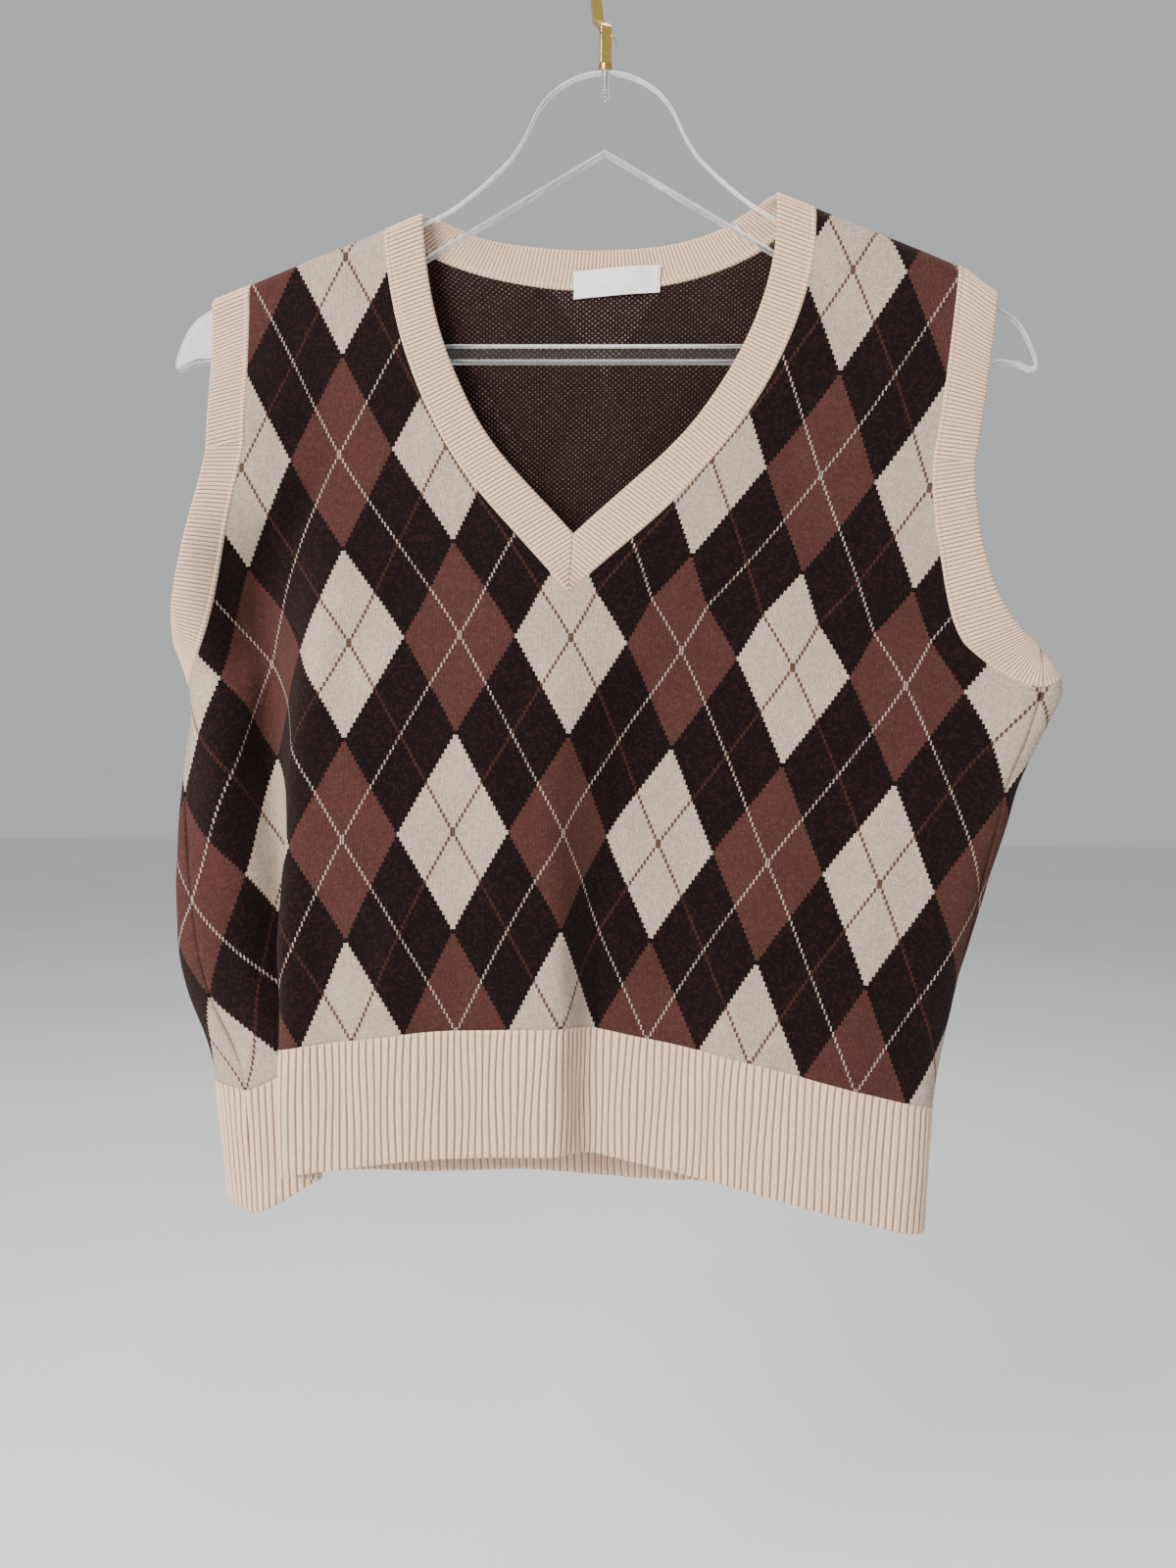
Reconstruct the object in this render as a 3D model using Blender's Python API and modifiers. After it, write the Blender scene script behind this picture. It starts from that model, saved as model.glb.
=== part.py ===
"""A knitted argyle sweater vest hanging on its clear acrylic hanger.

The origin is the inner crown of the hanger's hook, +X runs to the viewer's right, +Y away from the
viewer and +Z up. The vest's front faces -Y. Lengths below are millimetres and angles degrees, and
MM turns them into metres when a mesh is made.

Every knitted piece lies on one cloth. A point of it is (side, column, height): side is FRONT or
BACK, column counts argyle columns from the centre front or centre back, to the viewer's right, and
height is measured up along the knit from the top of the hem rib. Each height has a section, which
is walked from its heading: the folds turn the heading, and the section follows.
"""

from functools import lru_cache
from math import cos, pi, radians, sin, sqrt

import bmesh
import bpy
import numpy as np

MM = 0.001
FRONT, BACK = -1, 1

# Driving dimensions
SEAM_GAP = 0.3  # between two pieces that are linked
CURVED_GAP = 0.5  # the same where the seam curves
PANEL_WALL = 2.0
RIB_WALL = 2.6
BAND_WALL = 2.6
HALF_COLUMNS = 4.0  # from the centre to a side seam
RIB_HEIGHT = 62.0
RIB_TOP_Z = -555.0  # of the rib's top edge, one column left of the centre front
UNDERARM = 204.0  # height of the underarm point
ARMHOLE_COLUMN = 3.0  # of the straight part of an armhole
ARMHOLE_CURVE = 106.0  # height over which the armhole runs out to the side seam
ARMBAND_WIDTH = 21.0
ARMBAND_COLUMNS = 0.38  # the same width in columns
V_HEIGHT = 223.0  # height of the V's point on the panel
V_MITRE = 32.0  # length of the neckband's mitre
NECK_COLUMN = 1.62  # of the neckline at the shoulder
NECKBAND_COLUMNS = 0.35
BACK_NECK = 390.0  # height of the back neckline at the centre
NECKBAND_WIDTH = 19.5

LABEL_SIZE = (45.0, 14.0)
LABEL_COLUMN, LABEL_HEIGHT = 0.08, 400.0  # its middle and its top edge
LABEL_WALL = 0.5

HANGER_WALL = 8.0
HANGER_EDGE = 1.2  # the rounding of its edges
HANGER_TOP = -68.0  # top of the hanger's bell
ARM_X, ARM_Z, ARM_SLOPE = 84.7, -141.5, 0.405  # where the bell runs into the straight arm
ARM_END_X = 207.0
TIP_X, TIP_Z = 221.0, -220.0
BAR_TOP, BAR_BOTTOM = -207.0, -216.0
OPENING_APEX, OPENING_SLOPE = -109.6, 0.60  # of the triangle under the bell
SCREW_RADIUS, SCREW_LENGTH, SCREW_CLEARANCE = 1.9, 14.0, 0.3
DRILL_LENGTH = 40.0
FERRULE_RADIUS, FERRULE_HEIGHT = 3.5, 4.0
HOOK_WIDTH, HOOK_WALL = 6.0, 2.6
HOOK_TURN = 20.0  # of the hook's plane about the screw
CROWN_RADIUS = 17.0  # of the hook's middle line
JOG = 12.0  # how far the hook steps back before it rises
BELL_RADIUS = 41.0  # of the top of the acrylic
JOG_LOW, JOG_HIGH = -44.0, -34.5
SHOULDER_LIFT = 4.0  # from the arm's top to the middle of the cloth over it
RIGHT_LIFT = 8.0  # how much prouder the right shoulder stands
WRAP_LEFT, WRAP_RIGHT = 6.5, 9.0  # radius of the cloth's turn over the arm


def table(names, rows):
    """Rows of numbers as {name: column}."""
    return dict(zip(names.split(), np.array(rows, float).T))


# One row for each section. x and y place the cloth one column left of the centre front.
SECTIONS = table(
    "height pitch x y lift squeeze",
    (
        (-66, 50.5, -70, -38, 0, 0),
        (0, 51.5, -70, -36, 0, 0),
        (50, 53.5, -72, -32, 0, 0),
        (100, 55.5, -73, -27, -0.5, 0),
        (150, 56.0, -72, -24, -0.5, 0),
        (200, 56.0, -71, -20, -1, 0),
        (250, 55.5, -75, -17, -3, 0.06),
        (300, 54.5, -79, -14, -4, 0.13),
        (400, 54.0, -78, -9, 0, 0.06),
        (440, 54.0, -78, -8, 0, 0.06),
    ),
)
# The deep fold at the left front. The cloth leads away from the viewer, turns back on itself
# between the columns starts and ends, and comes out again as a ridge.
TUCK = table(
    "height turn starts ends width lead",
    (
        (-66, 172, -3.24, -2.78, 0.42, 4),
        (0, 165, -3.22, -2.76, 0.42, 10),
        (50, 118, -3.14, -2.66, 0.42, 36),
        (100, 86, -3.06, -2.50, 0.38, 56),
        (150, 62, -3.05, -2.40, 0.42, 52),
        (200, 47, -3.05, -2.30, 0.50, 46),
        (250, 24, -2.75, -2.20, 0.60, 34),
        (300, 6, -2.20, -2.10, 0.60, 16),
        (400, 0, -2.25, -2.10, 0.60, 10),
        (440, 0, -2.25, -2.10, 0.60, 10),
    ),
)
# The soft valley down the middle, and the slow return after it.
VALLEY = table(
    "height turn starts ends back",
    (
        (-66, 58, 0.00, 0.42, 9),
        (0, 56, -0.02, 0.42, 9),
        (50, 50, -0.08, 0.44, 8),
        (100, 42, -0.12, 0.50, 7),
        (150, 26, -0.10, 0.60, 5),
        (200, 8, 0.00, 0.80, 2),
        (250, 2, 0.00, 0.80, 0),
        (440, 0, 0.00, 0.80, 0),
    ),
)
# Where the cloth is halfway round each side, and over how many columns it turns.
SIDES = table(
    "height left left_width right right_width",
    (
        (-66, -4.10, 1.0, 3.72, 0.7),
        (0, -4.22, 1.2, 3.72, 0.7),
        (50, -4.22, 1.1, 3.80, 0.8),
        (100, -4.16, 1.0, 3.94, 0.9),
        (150, -3.94, 1.1, 4.12, 0.9),
        (200, -3.74, 1.15, 4.35, 0.9),
        (250, -3.90, 1.0, 4.40, 0.9),
        (300, -4.20, 1.0, 4.40, 0.9),
        (440, -4.40, 1.0, 4.40, 0.9),
    ),
)
# How far each column hangs below a level line, at the rib, the chest and the shoulder.
DROOP = table(
    "column rib chest shoulder",
    (
        (-4.8, 34, 36, 38),
        (-4, 29, 29, 28),
        (-3, 14, 13, 14),
        (-2, 5.5, 4, 5),
        (-1, 0, 0, 0),
        (0, -1, 1, 1),
        (1, 6, 6.5, 6),
        (2, 16, 15, 13),
        (3, 28, 24, 15),
        (4, 39, 29, 17),
        (4.8, 43, 31, 20),
    ),
)
LEAD_FROM, LEAD_OVER = -3.55, 0.44  # the column at which the cloth turns into the left fold
LOW_LEFT = 8.0  # how much lower the left side hangs below the chest
BACK_ARCH = 13.0  # how much the middle of the back hangs above the line of its side seams
BACK_EASE = 1.04  # the back is this much wider than the front
BACK_DEPTH = 9.0  # of the upper back behind the hanger's middle
BACK_SETTLE = 90.0  # how much lower the middle of the back starts to lie flat than its sides
# Above the V the two fronts spread apart by twice this much.
SPREAD = table("height by", ((223, 0), (250, 5), (300, 13), (350, 18), (400, 21), (440, 22)))
FLARE, FLARE_HEIGHT, FLARE_REACH = 13.0, 212.0, 70.0  # how far the right underarm stands out
BACK_LEVEL = (200.0, 50.0)  # from where and over what height the back falls in behind the front
# Soft folds of the back: the middle column, the width in columns and the turn.
BACK_FOLDS = table("column width turn", ((-2.1, 0.8, 12), (-0.2, 1.0, 9), (1.9, 0.7, 14)))
LEAST_SIDE_RADIUS, MOST_SIDE_RADIUS = 9.0, 60.0

# How the front's columns are divided: to a column, in so many steps.
FRONT_COLUMNS = (
    (-3.8, 3), (-3.5, 2), (-2.45, 13), (-0.2, 6), (0, 2), (0.6, 4), (3.2, 5), (3.7, 4), (HALF_COLUMNS, 4)
)
BACK_COLUMNS = (
    (-3.6, 6), (-3.1, 3), (-NECK_COLUMN, 3), (-1.36, 4), (1.36, 6), (NECK_COLUMN, 4), (3.1, 3),
    (3.6, 3), (HALF_COLUMNS, 6),
)
BODY_ROWS = (0.15, 36, 72, 106, 140, 174, UNDERARM)
ARMHOLE_ROWS = (206, 210, V_HEIGHT - 6, V_HEIGHT, 238, 258, 282, 312)
SHOULDER_ROWS = (50, 24, 12, 7, 3, 0.15)  # below the shoulder's ridge

WALK = np.linspace(-5, 5, 1001)  # the columns at which a section is walked


def smooth(x):
    x = np.clip(x, 0.0, 1.0)
    return x * x * (3 - 2 * x)


def rise(column, middle, width):
    """From 0 to 1 over width, half way at middle."""
    return smooth((column - middle) / width + 0.5)


def read(values, name, at):
    """A column of a table at a place between its rows, with no overshoot."""
    x = next(iter(values.values()))
    y = values[name]
    at = np.clip(at, x[0], x[-1])
    step = np.diff(x)
    slope = np.diff(y) / step
    lean = np.zeros_like(y)
    lean[0], lean[-1] = slope[0], slope[-1]
    same = slope[:-1] * slope[1:] > 0
    both = np.where(same, slope[:-1] + slope[1:], 1)
    lean[1:-1] = np.where(same, 2 * slope[:-1] * slope[1:] / both, 0)
    k = np.clip(np.searchsorted(x, at) - 1, 0, len(step) - 1)
    t = (at - x[k]) / step[k]
    ends = (1 + 2 * t) * (1 - t) ** 2 * y[k] + t * t * (3 - 2 * t) * y[k + 1]
    return ends + step[k] * (t * (1 - t) ** 2 * lean[k] - t * t * (1 - t) * lean[k + 1])


def front_heading(height):
    """The section's heading along WALK: 0 is straight across, positive turns away."""
    tuck = {name: read(TUCK, name, height) for name in TUCK}
    valley = {name: read(VALLEY, name, height) for name in VALLEY}
    side = {name: read(SIDES, name, height) for name in SIDES}
    into = rise(WALK, tuck["starts"], tuck["width"])
    out = rise(WALK, tuck["ends"], tuck["width"])
    turn = -90 * (1 - rise(WALK, side["left"], side["left_width"]))
    turn += tuck["lead"] * (rise(WALK, LEAD_FROM, LEAD_OVER) - into) - tuck["turn"] * (into - out)
    turn += valley["turn"] * (rise(WALK, valley["starts"], 0.3) - rise(WALK, valley["ends"], 0.3))
    turn -= valley["back"] * (rise(WALK, valley["ends"] + 0.1, 0.5) - rise(WALK, 2.6, 1.2))
    turn += 90 * rise(WALK, side["right"], side["right_width"])
    return turn


def walked(heading, pitch):
    """x and y along WALK, from the heading and the width of a column."""
    step = WALK[1] - WALK[0]
    across = np.cos(np.radians(heading)) * pitch
    away = np.sin(np.radians(heading)) * pitch
    x = np.concatenate([[0], np.cumsum(across[1:] + across[:-1]) * step / 2])
    y = np.concatenate([[0], np.cumsum(away[1:] + away[:-1]) * step / 2])
    return x, y


def front_section(height):
    heading = front_heading(height)
    pitch = read(SECTIONS, "pitch", height)
    pitch = pitch * (1 - read(SECTIONS, "squeeze", height) * (1 - rise(WALK, -2.1, 0.6)))
    x, y = walked(heading, pitch)
    x += read(SECTIONS, "x", height) - np.interp(-1, WALK, x)
    y += read(SECTIONS, "y", height) - np.interp(-1, WALK, y)
    x += 2 * read(SPREAD, "by", height) * rise(WALK, 0, 1.6)
    x += FLARE * smooth(1 - abs(height - FLARE_HEIGHT) / FLARE_REACH) * rise(WALK, 3.7, 0.7)
    return x, y, heading


def back_heading(start, end, radius, pitch):
    """From the left seam's heading, round the side, across and round to the right seam's."""
    round_left = radians(start) * radius / pitch
    round_right = radians(-end) * radius / pitch
    turn = start * (1 - smooth((WALK + HALF_COLUMNS) / round_left))
    turn += end * smooth((WALK - HALF_COLUMNS) / round_right + 1)
    for middle, width, by in zip(*BACK_FOLDS.values()):
        turn += by * (rise(WALK, middle - width, width) - rise(WALK, middle, width))
        turn -= by * (rise(WALK, middle, width) - rise(WALK, middle + width, width))
    return turn


def back_section(height):
    """The back closes the ring, with side turns as wide as its own length allows."""
    front_x, front_y, heading = front_section(height)
    seams = np.array([-HALF_COLUMNS, HALF_COLUMNS])
    seam_x, seam_y = np.interp(seams, WALK, front_x), np.interp(seams, WALK, front_y)
    start, end = np.interp(seams, WALK, heading) + (180, -180)
    pitch = read(SECTIONS, "pitch", height) * BACK_EASE
    tight, wide = LEAST_SIDE_RADIUS, MOST_SIDE_RADIUS
    for _ in range(24):
        radius = (tight + wide) / 2
        x, y = walked(back_heading(start, end, radius, pitch), pitch)
        reach = np.interp(seams, WALK, x)
        if reach[1] - reach[0] > seam_x[1] - seam_x[0]:
            tight = radius
        else:
            wide = radius
    share = (x - reach[0]) / (reach[1] - reach[0])
    x = seam_x[0] + share * (seam_x[1] - seam_x[0])
    ends = np.interp(seams, WALK, y)
    along = (WALK + HALF_COLUMNS) / (2 * HALF_COLUMNS)
    y = y - ends[0] + seam_y[0] + along * (seam_y[1] - seam_y[0] - ends[1] + ends[0])
    return x, y


SECTION_CACHE = {}


def section(side, height):
    key = (side, round(height, 3))
    if key not in SECTION_CACHE:
        SECTION_CACHE[key] = front_section(height)[:2] if side == FRONT else back_section(height)
    return SECTION_CACHE[key]


def droop(side, column, height):
    """How far the cloth hangs below a level line."""
    if side == BACK:
        left, right = (droop(FRONT, seam, height) for seam in (-HALF_COLUMNS, HALF_COLUMNS))
        share = column / HALF_COLUMNS
        return (left + right) / 2 + share * (right - left) / 2 - BACK_ARCH * (1 - share**2)
    low, middle, high = (read(DROOP, name, column) for name in ("rib", "chest", "shoulder"))
    chest = low + (middle - low) * smooth(height / 150)
    chest = chest + LOW_LEFT * smooth((190 - height) / 90) * rise(-column, 3.6, 0.8)
    return chest + (high - chest) * smooth((height - 220) / 180)


def hung(side, column, height):
    """Height in space of the cloth where it hangs straight."""
    return RIB_TOP_Z + height + read(SECTIONS, "lift", height) - droop(side, column, height)


def arm_top(x):
    return ARM_Z - ARM_SLOPE * (abs(x) - ARM_X)


def wrap_radius(column):
    return WRAP_LEFT + (WRAP_RIGHT - WRAP_LEFT) * smooth(column + 0.5)


def ridge(column):
    """Height in space of the cloth's middle where it passes over the hanger."""
    x = np.interp(column, WALK, section(FRONT, 410)[0])
    proud = RIGHT_LIFT * smooth(column) * (1 - 0.6 * smooth((column - 3) / 0.4))
    return arm_top(x) + SHOULDER_LIFT + proud


@lru_cache(maxsize=None)
def shoulder(side, column):
    """Height along the knit at which the cloth reaches its ridge."""
    slack = (pi / 2 - 1) * wrap_radius(column)
    height = 410.0
    for _ in range(8):
        height += ridge(column) + slack - hung(side, column, height)
    return height


def cloth(side, column, height):
    """A point of the cloth's middle surface."""
    radius = wrap_radius(column)
    left = shoulder(side, column) - height
    quarter = radius * pi / 2
    x = np.interp(column, WALK, section(side, min(height, 410.0))[0])
    if side == BACK:
        start, over = BACK_LEVEL
        behind = np.interp(column, WALK, section(FRONT, min(height, 410.0))[0])
        x += (behind - x) * smooth((height - start) / over) * rise(abs(column), 2.4, 1.6)
        x += (np.interp(column, WALK, section(FRONT, 410.0)[0]) - x) * (1 - smooth(left / 60))
    if left < quarter:
        top = ridge(column)
        return x, side * radius * sin(left / radius), top - radius * (1 - cos(left / radius))
    free = smooth((left - quarter) / 70)
    y = np.interp(column, WALK, section(side, height)[1])
    if side == BACK:
        early = BACK_SETTLE * (1 - min(abs(column) / HALF_COLUMNS, 1) ** 2)
        y += (BACK_DEPTH - y) * smooth((height - 206 + early) / (70 + 1.4 * early))
    return x, side * radius + (y - side * radius) * free, hung(side, column, height)


def normal(side, column, height):
    """The cloth's own unit normal, which faces out of the vest on both sides."""
    over, up = 0.02, 0.6
    across = np.subtract(cloth(side, column + over, height), cloth(side, column - over, height))
    along = np.subtract(cloth(side, column, height + up), cloth(side, column, height - up))
    square = np.cross(across, along)
    return -side * square / np.linalg.norm(square)


def armhole(height, inset=0.0):
    """Column of the armhole's edge. inset runs from 0 at the seam to 1 at the band's edge."""
    base = ARMHOLE_COLUMN + ARMBAND_COLUMNS * inset
    low = UNDERARM + ARMBAND_WIDTH * inset
    share = np.clip((height - low) / (ARMHOLE_CURVE - 10 * inset), 0, 1)
    return base + (HALF_COLUMNS - base) * (1 - sqrt(share)) ** 1.1


def neckline(height, inset=0.0):
    """Column of the front neckline's edge, from the V to the shoulder."""
    low = V_HEIGHT + V_MITRE * inset
    share = np.clip((height - low) / (414 - low), 0, 1)
    return (NECK_COLUMN - NECKBAND_COLUMNS * inset) * sin(pi / 2 * share**0.94)


def back_neckline(share, side, inset=0.0):
    """(column, height) of the back neckline, from the centre, 0, to a shoulder, 1."""
    column = side * (NECK_COLUMN - NECKBAND_COLUMNS * inset) * share
    top = shoulder(BACK, side * (NECK_COLUMN - NECKBAND_COLUMNS * inset))
    low = BACK_NECK + NECKBAND_WIDTH * inset
    return column, low + (top - low) * share**2.4


def spaced(spans, start=-HALF_COLUMNS):
    """Columns from start, divided as spans says, kept clear of the side seams."""
    columns = [start]
    for end, steps in spans:
        columns += list(np.linspace(columns[-1], end, steps + 1)[1:])
    keep = HALF_COLUMNS - CURVED_GAP / 2 / 56
    return np.clip(columns, -keep, keep)


def material(name, color, roughness, metallic=0.0, alpha=1.0):
    made = bpy.data.materials.new(name)
    made.use_nodes = True
    surface = made.node_tree.nodes["Principled BSDF"]
    surface.inputs["Base Color"].default_value = (*color, 1.0)
    surface.inputs["Roughness"].default_value = roughness
    surface.inputs["Metallic"].default_value = metallic
    surface.inputs["Alpha"].default_value = alpha
    return made


def add_object(name, mesh, finish):
    made = bpy.data.objects.new(name, mesh)
    made.data.materials.append(finish)
    VEST.objects.link(made)
    return made


def shell(name, grids, wall, finish):
    """A wall on the cloth, from grids of its points. Each point is laid off both ways along the
    cloth's own normal, so that two pieces stand square to each other along their seam."""
    middle = bmesh.new()
    squares = {}
    for grid in grids:
        rows = []
        for row in grid:
            rows.append([])
            for place in row:
                vert = middle.verts.new(cloth(*place))
                squares[vert] = normal(*place)
                rows[-1].append(vert)
        for low, high in zip(rows, rows[1:]):
            for quad in zip(low, low[1:], high[1:], high):
                middle.faces.new(quad)
    bmesh.ops.remove_doubles(middle, verts=middle.verts, dist=1e-4)
    work = bmesh.new()
    sides = []
    for half in (wall / 2, -wall / 2):
        laid = {v: work.verts.new((np.array(v.co) + squares[v] * half) * MM) for v in middle.verts}
        sides.append(laid)
        for face in middle.faces:
            work.faces.new([laid[v] for v in face.verts])
    outer, inner = sides
    for edge in middle.edges:
        if edge.is_boundary:
            # The edges of two pieces along a seam are split the same way, so they stay parallel.
            low, high = sorted(edge.verts, key=lambda v: v.co.z + v.co.x / 7)
            work.faces.new((outer[high], outer[low], inner[low]))
            work.faces.new((outer[high], inner[low], inner[high]))
    middle.free()
    bmesh.ops.recalc_face_normals(work, faces=work.faces)
    mesh = bpy.data.meshes.new(name)
    work.to_mesh(mesh)
    work.free()
    mesh.shade_smooth()
    mesh.set_sharp_from_angle(angle=radians(50))
    return add_object(name, mesh, finish)


def neck_point(half, below, inset=0.0):
    """(column, height) of the front neckline at a distance below the shoulder's ridge."""
    column = half * NECK_COLUMN
    for _ in range(5):
        height = shoulder(FRONT, column) - below
        column = half * neckline(height, inset)
    return column, height


def upper_back(column, top, below):
    """Height on the back, between the last armhole row and top, level with below on a shoulder."""
    start = ARMHOLE_ROWS[-1]
    full = shoulder(BACK, ARMHOLE_COLUMN) - start
    return top - (top - start) * (below - SHOULDER_ROWS[-1]) / full


def front_panel():
    """Two halves that share the centre line up to the V and part above it."""
    columns = spaced(FRONT_COLUMNS)
    halves = (-1, columns[columns <= 1e-9]), (1, columns[columns >= -1e-9])
    grids = []
    for half, inside in halves:
        share = np.abs(inside) / abs(inside).max()
        rows = []
        for height in BODY_ROWS + ARMHOLE_ROWS:
            near, far = neckline(height), min(armhole(height), abs(inside).max())
            rows.append([(FRONT, half * (near + (far - near) * s), height) for s in share])
        for below in SHOULDER_ROWS:
            near = abs(neck_point(half, below)[0])
            row = [half * (near + (ARMHOLE_COLUMN - near) * s) for s in share]
            rows.append([(FRONT, c, shoulder(FRONT, c) - below) for c in row])
        grids.append(rows)
    return shell("front_panel", grids, PANEL_WALL, KNIT)


def back_panel():
    """One grid whose top row follows the shoulders and the neckline between them."""
    columns = spaced(BACK_COLUMNS)
    share = columns / columns.max()
    rows = []
    for height in BODY_ROWS + ARMHOLE_ROWS:
        far = min(armhole(height), columns.max())
        rows.append([(BACK, far * s, height) for s in share])
    outside = (columns.min(), -NECK_COLUMN, NECK_COLUMN, columns.max())
    narrowed = (-ARMHOLE_COLUMN, -NECK_COLUMN, NECK_COLUMN, ARMHOLE_COLUMN)
    for below in SHOULDER_ROWS:
        row = []
        for column in np.interp(columns, outside, narrowed):
            top = shoulder(BACK, column) - SHOULDER_ROWS[-1]
            if abs(column) < NECK_COLUMN - 1e-6:
                top = back_neckline(abs(column) / NECK_COLUMN, np.sign(column) or 1)[1]
            row.append((BACK, column, upper_back(column, top, below)))
        rows.append(row)
    return shell("back_panel", [rows], PANEL_WALL, KNIT)


def rib(name, side, columns):
    """A strip of hem rib below the panel on one side."""
    levels = np.linspace(-RIB_HEIGHT, -SEAM_GAP / 2, 4)
    return shell(name, [[[(side, c, h) for c in columns] for h in levels]], RIB_WALL, RIB)


def armband(name, half):
    """A strip from the underarm up the front, over the shoulder and down the back."""
    keep = HALF_COLUMNS - CURVED_GAP / 2 / 56
    rows = []
    for inset in (CURVED_GAP / ARMBAND_WIDTH, 0.35, 0.68, 1.0):
        column = half * (ARMHOLE_COLUMN + ARMBAND_COLUMNS * inset)
        front, back = [], []
        for height in (UNDERARM,) + ARMHOLE_ROWS:
            eased = max(0, 1 - (height - UNDERARM) / (ARMHOLE_CURVE + 2))
            moved = height + ARMBAND_WIDTH * inset * eased
            edge = half * min(armhole(moved, inset), keep)
            front.append((FRONT, edge, moved))
            back.append((BACK, edge, moved))
        for below in SHOULDER_ROWS[:-1]:
            front.append((FRONT, column, shoulder(FRONT, column) - below))
            top = shoulder(BACK, column) - SHOULDER_ROWS[-1]
            back.append((BACK, column, upper_back(column, top, below)))
        ridge_point = (FRONT, column, shoulder(FRONT, column))
        rows.append(front + [ridge_point] + back[::-1])
    return shell(name, [rows], BAND_WALL, RIB)


def neckband():
    """One strip round the neck. Its ends meet in a mitre at the V."""
    gap = SEAM_GAP / 2 / 56
    shares = [c / NECK_COLUMN for c in spaced(BACK_COLUMNS) if abs(c) < NECK_COLUMN - 1e-6]
    rows = []
    for inset in (CURVED_GAP / NECKBAND_WIDTH, 0.34, 0.67, 1.0):
        arms = []
        for half in (-1, 1):
            arm = []
            for height in ARMHOLE_ROWS[ARMHOLE_ROWS.index(V_HEIGHT):]:
                share = (height - V_HEIGHT) / (ARMHOLE_ROWS[-1] - V_HEIGHT)
                moved = height + V_MITRE * inset * (1 - share)
                arm.append((FRONT, half * max(neckline(moved, inset), gap), moved))
            for below in SHOULDER_ROWS[:-1]:
                arm.append((FRONT, *neck_point(half, below, inset)))
            column = half * (NECK_COLUMN - NECKBAND_COLUMNS * inset)
            arms.append(arm + [(FRONT, column, shoulder(FRONT, column))])
        across = [(BACK, *back_neckline(abs(s), np.sign(s) or 1, inset)) for s in shares]
        rows.append(arms[0] + across + arms[1][::-1])
    return shell("neckband", [rows], BAND_WALL, RIB)


def neck_label():
    """A flat label sewn inside the back, over the seam under the neckband."""
    off = BAND_WALL / 2 + SEAM_GAP + LABEL_WALL / 2
    half = LABEL_SIZE[0] / 2
    either_side = (cloth(BACK, LABEL_COLUMN + by, LABEL_HEIGHT)[0] for by in (-0.1, 0.1))
    pitch = np.diff(list(either_side))[0] / 0.2
    corners = []
    for x in np.linspace(-half, half, 7):
        for z in (-LABEL_SIZE[1], 0):
            column = LABEL_COLUMN + x / pitch
            point = np.array(cloth(BACK, column, LABEL_HEIGHT + z))
            corners.append(point - normal(BACK, column, LABEL_HEIGHT + z) * off)
    work = bmesh.new()
    verts = [work.verts.new(point * MM) for point in corners]
    for k in range(0, 12, 2):
        work.faces.new((verts[k], verts[k + 2], verts[k + 3], verts[k + 1]))
    mesh = bpy.data.meshes.new("neck_label")
    work.to_mesh(mesh)
    work.free()
    made = add_object("neck_label", mesh, SATIN)
    thick = made.modifiers.new("wall", "SOLIDIFY")
    thick.thickness = LABEL_WALL * MM
    thick.offset = 0.0
    return made


def arc(middle, radius, start, end, steps):
    """Points on an arc in the hanger's plane, angles from +X towards +Z."""
    angles = np.radians(np.linspace(start, end, steps))
    return [(middle[0] + radius * cos(a), middle[1] + radius * sin(a)) for a in angles]


def half_outline():
    """The right half of the hanger's outer edge, from the top of the bell to the bar."""
    crown = arc((0, HANGER_TOP - BELL_RADIUS), BELL_RADIUS, 90, 22, 11)
    waist = [(41.8, -101.5), (45.8, -108.0), (50.3, -113.8), (61.7, -124.6), (71.5, -132.6)]
    shoulder_start = [(ARM_X - 5, ARM_Z + 3.2), (ARM_X + 4, arm_top(ARM_X + 4))]
    straight = [(ARM_END_X - 10, arm_top(ARM_END_X - 10)), (ARM_END_X, arm_top(ARM_END_X) - 1)]
    tip = [(213.5, -198.5), (218.6, -208.5), (TIP_X, -216.5), (TIP_X - 0.6, TIP_Z)]
    under = [(216.5, TIP_Z + 0.4), (211.0, -217.2), (203.0, BAR_BOTTOM)]
    return crown + waist + shoulder_start + straight + tip + under


def flat_solid(name, outlines, wall, edge, finish):
    """A flat outline, thickened and rounded along its edges, as a mesh in the hanger's plane."""
    curve = bpy.data.curves.new(name, "CURVE")
    curve.dimensions = "2D"
    curve.fill_mode = "BOTH"
    curve.extrude = (wall / 2 - edge) * MM
    curve.bevel_depth = edge * MM
    curve.bevel_resolution = 1
    curve.offset = -edge * MM
    for outline in outlines:
        spline = curve.splines.new("POLY")
        spline.points.add(len(outline) - 1)
        for point, (x, z) in zip(spline.points, outline):
            point.co = (x * MM, z * MM, 0, 1)
        spline.use_cyclic_u = True
    drawn = bpy.data.objects.new(name, curve)
    VEST.objects.link(drawn)
    drawn.rotation_euler = (pi / 2, 0, 0)
    bpy.context.view_layer.update()
    graph = bpy.context.evaluated_depsgraph_get()
    mesh = bpy.data.meshes.new_from_object(drawn.evaluated_get(graph))
    mesh.transform(drawn.matrix_world)
    bpy.data.objects.remove(drawn, do_unlink=True)
    work = bmesh.new()
    work.from_mesh(mesh)
    bmesh.ops.remove_doubles(work, verts=work.verts, dist=1e-6)
    bmesh.ops.recalc_face_normals(work, faces=work.faces)
    work.to_mesh(mesh)
    work.free()
    mesh.materials.clear()
    mesh.name = name
    return add_object(name, mesh, finish)


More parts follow.
